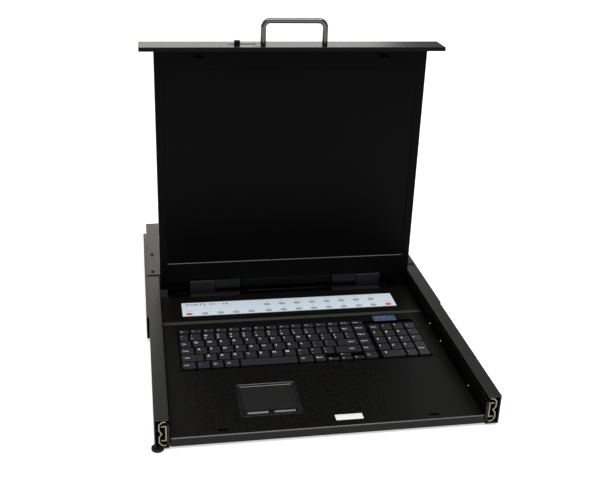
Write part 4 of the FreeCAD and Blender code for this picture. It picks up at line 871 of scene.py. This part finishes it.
class CONSOLE_OT_trim(bpy.types.Operator):
    """Bevel round the window, cover between the hinges, the tray's rolled edge and small bars at the sides"""

    bl_idname = "console.trim"
    bl_label = "Trim"

    gap = 0.05 * MM
    packing_foot = 8.0 * MM
    tab_reach = 1.4 * MM
    tab_foot = 0.3 * MM
    tab_rise = 2.2 * MM
    side_wall = 1.5 * MM
    window_inset = 2.5 * MM
    window_depth = 1.52 * MM
    bevel_width = 1.3 * MM
    bevel_corner = 0.4 * MM
    sill_inset = 3.2 * MM
    sill_half = 0.03 * MM
    cover_half = 73.5 * MM
    cover_rise = (0.3 * MM, 15.7 * MM)
    cover_slant = 5.2 * MM
    cover_thickness = 0.6 * MM
    edge_bevel = 1.0 * MM
    edge_lift = 0.06 * MM

    def execute(self, context):
        colours = context.scene.console_colours
        matt = moulded_plastic("matt_window_bevel", linear("#0a0a0a"), 0.45, 1.0, 0.01, 0.04)
        piece("window_bevel", self.bevel(), matt, BODY_OF["lid_bezel"])
        # The sill is lighter and shinier than the bevel: a painted highlight along the window's lower edge.
        satin = moulded_plastic("painted_highlight_window_sill", linear("#151518"), 0.3, 1.0, 0.01, 0.5)
        piece("window_sill", self.sill(), satin, BODY_OF["lid_bezel"])
        nylon = moulded_plastic("moulded_nylon_cover", colours.hinges[:], 0.45, 1.2, 0.03)
        piece("hinge_cover", self.cover(), nylon, BODY_OF["lid_bezel"])
        # The strip on the tray's rolled edge is lighter and shinier than the coat around it: a painted
        # highlight.
        edge_highlight = powder_coat("powder_coat_painted_highlight_on_rolled_edge", linear("#4a463d"), 0.8)
        piece("tray_edge", self.edge(), edge_highlight, BODY_OF["tray"])
        self.bars(colours)
        return {"FINISHED"}

    def bars(self, colours):
        """Packing at the sleeves, also painted shade in the gap behind them; black tabs beside the tray's lip
        as painted shade; the side plates' cut upper edges, lighter as a painted highlight.
        """
        gap, slot = self.gap, "black_powder_coat"
        rear, sleeve = box_of("rear_rails")[1], box_of("bracket_sleeves")[1]
        rail, side, tray = box_of("rail_right"), box_of("drawer_side_right"), box_of("tray")
        # The packing bar is coated steel and also fills the gap behind the sleeves with painted shade.
        packing = self.pair(rear[0] + gap, rail[1][0] - gap, (rail[1][1] + gap, sleeve[1] - gap),
                            (self.packing_foot, sleeve[2] - gap))
        coat = powder_coat("powder_coated_packing_bar", colours.rails[:], RAIL_SHEEN)
        piece("sleeve_packing", packing, coat, BODY_OF["bracket_sleeves"])
        # The tabs beside the tray's lip are black bars that fill the gap there: painted shade.
        front, inner, seam = tray[0][1], tray[1][0] + gap, side[0][2]
        depth = (front + 2 * gap, front + self.tab_reach)
        lower = self.pair(inner, rail[0][0] - 2 * gap, depth, (tray[0][2] + self.tab_foot, seam))
        upper = self.pair(inner, tray[1][0] + self.tab_reach, depth, (seam, seam + self.tab_rise))
        coat = powder_coat("powder_coated_painted_shade_tab", colours.coat[:], COAT_SHEEN)
        piece("painted_shade_tabs", merged([lower, upper]), coat, BODY_OF["tray"])
        # The strips on the side plates' upper edges are lighter than their coat: a painted highlight.
        edges = self.pair(side[1][0] - self.side_wall, side[1][0], (side[0][1] + gap, side[1][1] - gap),
                          (side[1][2], side[1][2] + gap))
        coat = powder_coat("powder_coat_painted_highlight_on_cut_edge", linear("#26231e"), 0.3)
        piece("side_edges", edges, coat, BODY_OF["drawer_side_right"])

    def pair(self, inner, outer, y, z):
        """The same bar on both sides, between two distances from the middle."""
        bars = []
        for side in (-1, 1):
            left, right = sorted((side * inner, side * outer))
            bars.append(plate((left, y[0], z[0]), (right, y[1], z[1]), 0.2 * MM, 0.02 * MM))
        return merged(bars)

    def bevel(self):
        """Three rings in x and z, the window's outline and the same drawn in: a frame with three sides."""
        low, high = box_of("lcd_glass")
        half = (high - low) / 2 - self.window_inset
        inset = np.array([0.0, self.bevel_width, 0.0])
        depth = low[1] - np.array([self.window_depth, self.gap, self.gap])
        flat = corner_rings(half[0] - inset, half[2] - inset, np.full(3, self.bevel_corner), 3)
        middle = (low + high) / 2
        rings = np.empty((*flat.shape[:2], 3))
        rings[..., 0] = flat[..., 0] + middle[0]
        rings[..., 1] = depth[:, None]
        rings[..., 2] = flat[..., 1] + middle[2]
        return frame_loop(rings)

    def sill(self):
        """Thin strip on the front of the bevel along the window's lower edge, lighter and glossier than the
        bevel: a painted highlight.
        """
        low, high = box_of("lcd_glass")
        lower = np.array([low[1] - self.window_depth, low[2] + self.window_inset])
        upper = lower + np.array([0.8, 0.71]) * MM
        out = np.array([-0.66, 0.75]) * self.sill_half
        section = [lower + out, lower - out, upper - out, upper + out]
        return strip(section, low[0] + self.sill_inset, high[0] - self.sill_inset)

    def cover(self):
        """Flat strip on the lid's slanted lower face, from one hinge to the other."""
        front, low = box_of("lid_bezel")[0][1:]
        top = np.array([front, low + self.cover_rise[1]])
        foot = np.array([front + self.cover_slant, low + self.cover_rise[0]])
        out = np.array([-0.949, -0.314]) * self.cover_thickness / 2
        section = [top + out, foot + out, foot - out, top - out]
        return strip(section, -self.cover_half, self.cover_half)

    def edge(self):
        """Thin strip that lies on the tray's front bevel, lighter than the coat as a painted highlight."""
        low, high = box_of("tray")
        lower = np.array([low[1], high[2] - self.edge_bevel])
        upper = np.array([low[1] + self.edge_bevel, high[2]])
        out = np.array([-0.707, 0.707]) * self.edge_lift
        section = [lower + out, lower - 3 * out, upper - 3 * out, upper + out]
        return strip(section, low[0], high[0])


class CONSOLE_OT_screws(bpy.types.Operator):
    """Domed screw heads with a cross recess on slides and tie plate, and the rivets beside the tray"""

    bl_idname = "console.screws"
    bl_label = "Screws"

    # Each kind by the radius and length of its shank and the radius and height of its head.
    slide_screw = (1.5 * MM, 3.0 * MM, 2.6 * MM, 1.2 * MM)
    rivet = (0.8 * MM, 0.5 * MM, 1.7 * MM, 2.2 * MM)
    tie_screw = (1.9 * MM, 4.2 * MM, 3.2 * MM, 1.8 * MM)
    # Places of the screws from the ends, corners and sides of their nodes' boxes.
    end_inset = 2.4 * MM
    second_place = 123.4 * MM
    corner_inset = 2.96 * MM
    face_inset = 3.0 * MM
    rivet_rise = 15.0 * MM
    steps = 32
    dome = 0.6
    cross_width = 0.16
    cross_reach = 0.595

    def execute(self, context):
        recess = context.scene.console_sizes.screw_recess
        zinc = plated_metal("zinc_plated_screw_steel", linear("#d6d3c8"), 0.25, 0.6)
        oxide = plated_metal("black_oxide_screw_steel", linear("#2a2a2c"), 0.38, 0.6)
        low, high = box_of("side_screws")
        heads = self.on_walls(self.screw(*self.slide_screw, recess), (low[2] + high[2]) / 2)
        piece("slide_screw_heads", heads, oxide, BODY_OF["side_screws"], ["side_screws"])
        rivets = self.on_walls(self.screw(*self.rivet, 0.0), self.rivet_rise)
        piece("tray_rivets", rivets, zinc, BODY_OF["side_screws"])
        low, high = box_of("rail_screws")
        shape = self.screw(*self.tie_screw, recess)
        inset, foot = self.corner_inset, high[2] - self.tie_screw[-1]
        heads = merged([turned(shape, (x, y, foot), (1, 0, 0), (0, 1, 0))
                        for x in (low[0] + inset, high[0] - inset)
                        for y in (low[1] + inset, high[1] - inset)])
        coated = powder_coat("powder_coated_screw_heads", context.scene.console_colours.rails[:], RAIL_SHEEN)
        piece("tie_screw_heads", heads, coated, BODY_OF["rail_screws"], ["rail_screws"])
        return {"FINISHED"}

    def on_walls(self, shape, height):
        """Shape at three places along both side walls, facing the middle."""
        low, high = box_of("side_screws")
        face = high[0] - self.face_inset
        places = (low[1] + self.end_inset, low[1] + self.second_place, high[1] - self.end_inset)
        return merged([turned(shape, (side * face, y, height), (0, side * -1.0, 0), (0, 0, 1))
                       for side in (-1, 1) for y in places])

    def screw(self, shank_radius, shank_length, radius, height, recess):
        """Shank, then a dome z = h (1 - 0.6 (r / R)^2), less d where |x| or |y| < 0.16 R and r < 0.6 R."""
        reach = np.array([1.0, 0.97, 0.85, 0.72, 0.6, 0.59, 0.4, 0.22, 0.16]) * radius
        reach = np.concatenate([[shank_radius, shank_radius, radius], reach])
        angle = 2 * math.pi * (np.arange(self.steps) + 0.5) / self.steps
        x, y = reach[:, None] * np.cos(angle), reach[:, None] * np.sin(angle)
        z = height * (1 - self.dome * (reach / radius) ** 2)
        z[:3] = [-shank_length, 0, 0]
        cross = np.minimum(np.abs(x), np.abs(y)) < self.cross_width * radius
        inside = reach[:, None] < self.cross_reach * radius
        return ring_stacks(np.stack([x, y, z[:, None] - recess * (cross & inside)], axis=-1)[None])


class CONSOLE_OT_sockets(bpy.types.Operator):
    """Rear sockets: contacts, nuts, lamps, mains blades and the marks on the rocker"""

    bl_idname = "console.sockets"
    bl_label = "Rear sockets"

    shell_half = (15.5 * MM, 6.75 * MM)
    insulator_half = (7.6 * MM, 3.5 * MM)
    insulator_taper = 0.13
    contact_pitch = 2.3 * MM
    contact_rise = 2.0 * MM
    nut_reach = 12.3 * MM
    wire_pitch = 1.1 * MM
    wire_depth = 11.5 * MM
    wire_rise = 3.2 * MM
    lamp_reach = 5.4 * MM
    inlet_middle = 20.0 * MM
    blade_depth = 15.98 * MM
    blade_places = ((-7.0 * MM, -2.6 * MM), (0.0, 2.6 * MM), (7.0 * MM, -2.6 * MM))
    rocker_pivot = (293.2 * MM, 24.55 * MM)
    rocker_tilt = math.radians(-8)
    # Rise and length of a face of the rocker, then its middle behind and above the pivot.
    face_slope = (1.4, 7.8)
    face_middle = (1.9 * MM, 3.9 * MM)
    mark_height = 3.0 * MM

    def execute(self, context):
        centres = self.centres()
        rear = box_of("pc_ports")[1][1]
        wall = box_of("switch_case")[1][1]
        half_x, half_z = self.insulator_half
        face = plate((-half_x, -half_z, 0), (half_x, half_z, 0.12 * MM), 1.2 * MM, 0.05 * MM)
        face[0][:, 0] *= 1 - self.insulator_taper * (half_z - face[0][:, 1]) / (2 * half_z)
        faces = [self.on_rear(face, (x, rear, z)) for x, z in centres]
        blue = moulded_plastic("moulded_pbt_insulator", linear("#1f3f86"), 0.45, 0.8, 0.02)
        piece("socket_insulators", merged(faces), blue, BODY_OF["pc_ports"])
        # The contact holes are flat black dots on the insulator: painted shade where the holes are.
        hole = plate((-0.5 * MM, -0.5 * MM, 0.1 * MM), (0.5 * MM, 0.5 * MM, 0.16 * MM), 0.5 * MM, 0.02 * MM)
        holes = [self.on_rear(hole, (x - across, rear, z + up)) for x, z in centres
                 for across, up in self.contacts()]
        hole_shade = moulded_plastic("painted_shade_in_contact_holes", linear("#0a0a0c"), 0.6, 0.5, 0.01)
        piece("socket_holes", merged(holes), hole_shade, BODY_OF["pc_ports"])
        nuts = [self.on_rear(self.nut(), (x + side * self.nut_reach, wall, z)) for x, z in centres
                for side in (-1, 1)]
        nickel = plated_metal("nickel_plated_brass", linear("#c9c6bf"), 0.25, 0.6)
        piece("socket_nuts", merged(nuts), nickel, BODY_OF["switch_case"])
        self.jack()
        self.blades(nickel)
        self.rocker_marks()
        return {"FINISHED"}

    def on_rear(self, shape, origin):
        """Shape that faces the rear, its own x to the left seen from the front."""
        return turned(shape, origin, (-1, 0, 0), (0, 0, 1))

    def centres(self):
        """Middles in x and z of the sockets: eight columns, two rows."""
        low, high = box_of("pc_ports")
        half_x, half_z = self.shell_half
        rows = (low[2] + half_z, high[2] - half_z)
        return [(x, z) for x in np.linspace(low[0] + half_x, high[0] - half_x, 8) for z in rows]

    def contacts(self):
        """Contacts of a socket from its middle: three rows of five, each row half a pitch on."""
        return [((column - 2 + (row - 1) / 2) * self.contact_pitch, (row - 1) * self.contact_rise)
                for row in range(3) for column in range(5)]

    def nut(self):
        """Six-sided standoff with a threaded hole: rings from the wall up, over the end and into the hole."""
        radius = np.array([2.6, 2.6, 2.3, 1.4, 1.3]) * MM
        heights = np.array([0.0, 4.2, 4.6, 4.6, 2.0]) * MM
        angle = math.pi * (np.arange(6) + 0.5) / 3
        flat = radius[:, None, None] * np.stack([np.cos(angle), np.sin(angle)], axis=-1)
        return ring_stacks(at_heights(flat, heights)[None])

    def jack(self):
        """Eight contacts along the socket's upper side and two lamps over it."""
        low, high = box_of("lan_port")
        x, z = (low[0] + high[0]) / 2, (low[2] + high[2]) / 2
        wire = plate((-0.25 * MM, -0.2 * MM, 0), (0.25 * MM, 0.2 * MM, 8.0 * MM), 0.15 * MM, 0.1 * MM)
        depth, height = high[1] - self.wire_depth, z + self.wire_rise
        wires = [self.on_rear(wire, (x + (place - 3.5) * self.wire_pitch, depth, height))
                 for place in range(8)]
        gold = plated_metal("gold_plated_wire", linear("#d8b25a"), 0.25, 0.5)
        piece("jack_contacts", merged(wires), gold, BODY_OF["lan_port"])
        lens = plate((-1.3 * MM, -0.7 * MM, 0), (1.3 * MM, 0.7 * MM, 0.3 * MM), 0.4 * MM, 0.2 * MM)
        for name, side, colour in (("link_lamp", -1, "#3fae4e"), ("traffic_lamp", 1, "#e0a22c")):
            shape = self.on_rear(lens, (x + side * self.lamp_reach, high[1], z + self.lamp_reach))
            glow = lit_lamp("lit_" + name, linear(colour), 0.2)
            piece(name, shape, glow, BODY_OF["lan_port"])

    def blades(self, nickel):
        """Rounded sleeves over the three mains blades."""
        low, high = box_of("power_inlet")
        x, y, z = low[0] + self.inlet_middle, high[1] - self.blade_depth, (low[2] + high[2]) / 2
        sleeve = plate((-1.05 * MM, -2.05 * MM, 0), (1.05 * MM, 2.05 * MM, 12.1 * MM), 0.3 * MM, 0.6 * MM)
        sleeves = [self.on_rear(sleeve, (x + across, y, z + up)) for across, up in self.blade_places]
        piece("mains_blades", merged(sleeves), nickel, BODY_OF["power_inlet"])

    def rocker_marks(self):
        """Plain line and ring on the rocker's two faces, which slope from its waist and tilt with it."""
        low, high = box_of("power_rocker")
        pivot = np.array([(low[0] + high[0]) / 2, *self.rocker_pivot])
        sine, cosine = math.sin(self.rocker_tilt), math.cos(self.rocker_tilt)
        turn = np.array([[1, 0, 0], [0, cosine, -sine], [0, sine, cosine]])
        rise, length = self.face_slope
        marks = []
        for text, side in (("I", 1), ("O", -1)):
            slope = np.array([0, rise * side, length]) / math.hypot(rise, length)
            middle = np.array([0, self.face_middle[0], side * self.face_middle[1]])
            upward = turn @ slope
            out = np.cross((-1, 0, 0), upward)
            letter = written(text, self.mark_height, (0, -self.mark_height / 2, 0), True)
            marks.append(turned(letter, pivot + turn @ middle + out * 2 * PRINT_LIFT, (-1, 0, 0), upward))
        ink = printed_ink("white_rocker_ink", linear("#e8e8e8"))
        piece("rocker_marks", merged(marks), ink, BODY_OF["power_rocker"])


class CONSOLE_OT_stage(bpy.types.Operator):
    """Pale floor, soft lights and the camera at the photograph's angle"""

    bl_idname = "console.stage"
    bl_label = "Stage"

    floor_half = 6.0
    # The floor's glow is painted light over its shadows; it grows between two shares of the object's half
    # size, and between two places in y.
    glow_shares = (0.9, 0.955)
    glow_depths = (-0.9, -0.55)
    painted_glow_strength = 0.55
    sky_strength = 0.28
    camera_angles = (10.76, 23.83, 2.19)
    camera_place = (-0.2255, -1.2246, 0.6892)

    def execute(self, context):
        self.floor()
        self.lights()
        self.camera()
        return {"FINISHED"}

    def floor(self):
        """Level square, 12 m a side, under the feet."""
        half = self.floor_half
        mesh = bpy.data.meshes.new("floor")
        mesh.from_pydata([(-half, -half, 0), (half, -half, 0), (half, half, 0), (-half, half, 0)], [],
                         [(0, 1, 2, 3)])
        floor = bpy.data.objects.new("floor", mesh)
        bpy.context.scene.collection.objects.link(floor)
        white = linear("#ffffff")
        material, tree, shader = finish("white_paper_sweep", linear("#f6f6f6"), 0.9, Emission_Color=white)
        mottled(tree, shader, grain(tree, 40.0), linear("#f4f4f4"), linear("#f8f8f8"))
        # The floor's emission is painted light, cut away under the object and in front of it.
        tree.links.new(self.glow(tree), shader.inputs["Emission Strength"])
        floor.data.materials.append(material)

    def glow(self, tree):
        """Painted light on the sweep that fills the object's shadows on it: none under the object or well in
        front of it.
        """
        half_x, half_y = CAD_BOX[1][:2]
        place = add(tree, "ShaderNodeTexCoord").outputs["Object"]
        scale = {"Scale": (1 / half_x, 1 / half_y, 0.0)}
        shares = add(tree, "ShaderNodeMapping", scale, Vector=place).outputs["Vector"]
        reach = add(tree, "ShaderNodeVectorMath", {"operation": "ABSOLUTE"}, Vector=shares)
        parts = add(tree, "ShaderNodeSeparateXYZ", Vector=reach.outputs["Vector"]).outputs
        outside = add(tree, "ShaderNodeMath", {"operation": "MAXIMUM"}, Value=parts["X"])
        tree.links.new(parts["Y"], outside.inputs[1])
        first, last = self.glow_shares
        limits = {"From Min": first, "From Max": last, "To Max": self.painted_glow_strength}
        beside = add(tree, "ShaderNodeMapRange", limits, Value=outside.outputs["Value"])
        depth = add(tree, "ShaderNodeSeparateXYZ", Vector=place).outputs["Y"]
        first, last = self.glow_depths
        behind = add(tree, "ShaderNodeMapRange", {"From Min": first, "From Max": last}, Value=depth)
        both = add(tree, "ShaderNodeMath", {"operation": "MULTIPLY"}, Value=beside.outputs["Result"])
        tree.links.new(behind.outputs["Result"], both.inputs[1])
        return both.outputs["Value"]

    def lights(self):
        """Dim world, a wide soft light overhead and a bright card behind, to the left."""
        world = bpy.data.worlds.new("studio")
        bpy.context.scene.world = world
        world.use_nodes = True
        sky = world.node_tree.nodes["Background"]
        sky.inputs["Color"].default_value = (1.0, 1.0, 1.0, 1.0)
        sky.inputs["Strength"].default_value = self.sky_strength
        for name, place, target, width, height, power, colour in (
                ("overhead_light", (0.2, -1.0, 3.0), (0.2, -1.0, 0.0), 3.0, 3.2, 95, "#ffffff"),
                ("rear_light", (-1.3, 4.5, 1.2), (-1.3, 0.0, 0.6), 5.4, 2.0, 68, "#fffcf4")):
            data = bpy.data.lights.new(name, "AREA")
            data.shape = "RECTANGLE"
            data.size = width
            data.size_y = height
            data.energy = power
            data.color = linear(colour)[:3]
            lamp = bpy.data.objects.new(name, data)
            bpy.context.scene.collection.objects.link(lamp)
            lamp.location = place
            aim = Vector(target) - Vector(place)
            lamp.rotation_euler = aim.to_track_quat("-Z", "Y").to_euler()
        bpy.context.scene.view_settings.view_transform = "Standard"

    def camera(self):
        """Camera from the fit to the photograph: yaw, pitch and roll in degrees, a 36 mm sensor."""
        yaw, pitch, roll = (math.radians(angle) for angle in self.camera_angles)
        ahead = Vector((math.sin(yaw), math.cos(yaw), 0))
        right = Vector((math.cos(yaw), -math.sin(yaw), 0))
        up = Vector((0, 0, 1))
        forward = ahead * math.cos(pitch) - up * math.sin(pitch)
        above = up * math.cos(pitch) + ahead * math.sin(pitch)
        side = right * math.cos(roll) + above * math.sin(roll)
        top = above * math.cos(roll) - right * math.sin(roll)
        data = bpy.data.cameras.new("photo_camera")
        data.sensor_width = 36.0
        data.lens = 54.08
        data.clip_start = 0.01
        data.clip_end = 50.0
        camera = bpy.data.objects.new("photo_camera", data)
        bpy.context.scene.collection.objects.link(camera)
        turn = Matrix((side, top, -forward)).transposed().to_4x4()
        camera.matrix_world = Matrix.Translation(self.camera_place) @ turn
        bpy.context.scene.camera = camera


OPERATORS = (CONSOLE_OT_metalwork, CONSOLE_OT_mouldings, CONSOLE_OT_keys, CONSOLE_OT_legends,
             CONSOLE_OT_keypad, CONSOLE_OT_touchpad, CONSOLE_OT_handle, CONSOLE_OT_labels,
             CONSOLE_OT_trim, CONSOLE_OT_screws, CONSOLE_OT_sockets, CONSOLE_OT_stage)


class CONSOLE_PT_panel(bpy.types.Panel):
    """Sidebar panel with the sizes, the colours and a button for each operator"""

    bl_label = "Rack console drawer"
    bl_space_type = "VIEW_3D"
    bl_region_type = "UI"
    bl_category = "Console"

    def draw(self, context):
        for group in (context.scene.console_sizes, context.scene.console_colours):
            for name in group.__annotations__:
                self.layout.prop(group, name)
        for operator in OPERATORS:
            self.layout.operator(operator.bl_idname)


CLASSES = (ConsoleSizes, ConsoleColours, *OPERATORS, CONSOLE_PT_panel)


def register():
    for cls in CLASSES:
        bpy.utils.register_class(cls)
    bpy.types.Scene.console_sizes = PointerProperty(type=ConsoleSizes)
    bpy.types.Scene.console_colours = PointerProperty(type=ConsoleColours)


def unregister():
    del bpy.types.Scene.console_sizes
    del bpy.types.Scene.console_colours
    for cls in reversed(CLASSES):
        bpy.utils.unregister_class(cls)


def main():
    register()
    bpy.ops.console.metalwork()
    bpy.ops.console.mouldings()
    bpy.ops.console.keys()
    bpy.ops.console.legends()
    bpy.ops.console.keypad()
    bpy.ops.console.touchpad()
    bpy.ops.console.handle()
    bpy.ops.console.labels()
    bpy.ops.console.trim()
    bpy.ops.console.screws()
    bpy.ops.console.sockets()
    bpy.ops.console.stage()


if __name__ == "__main__":
    main()
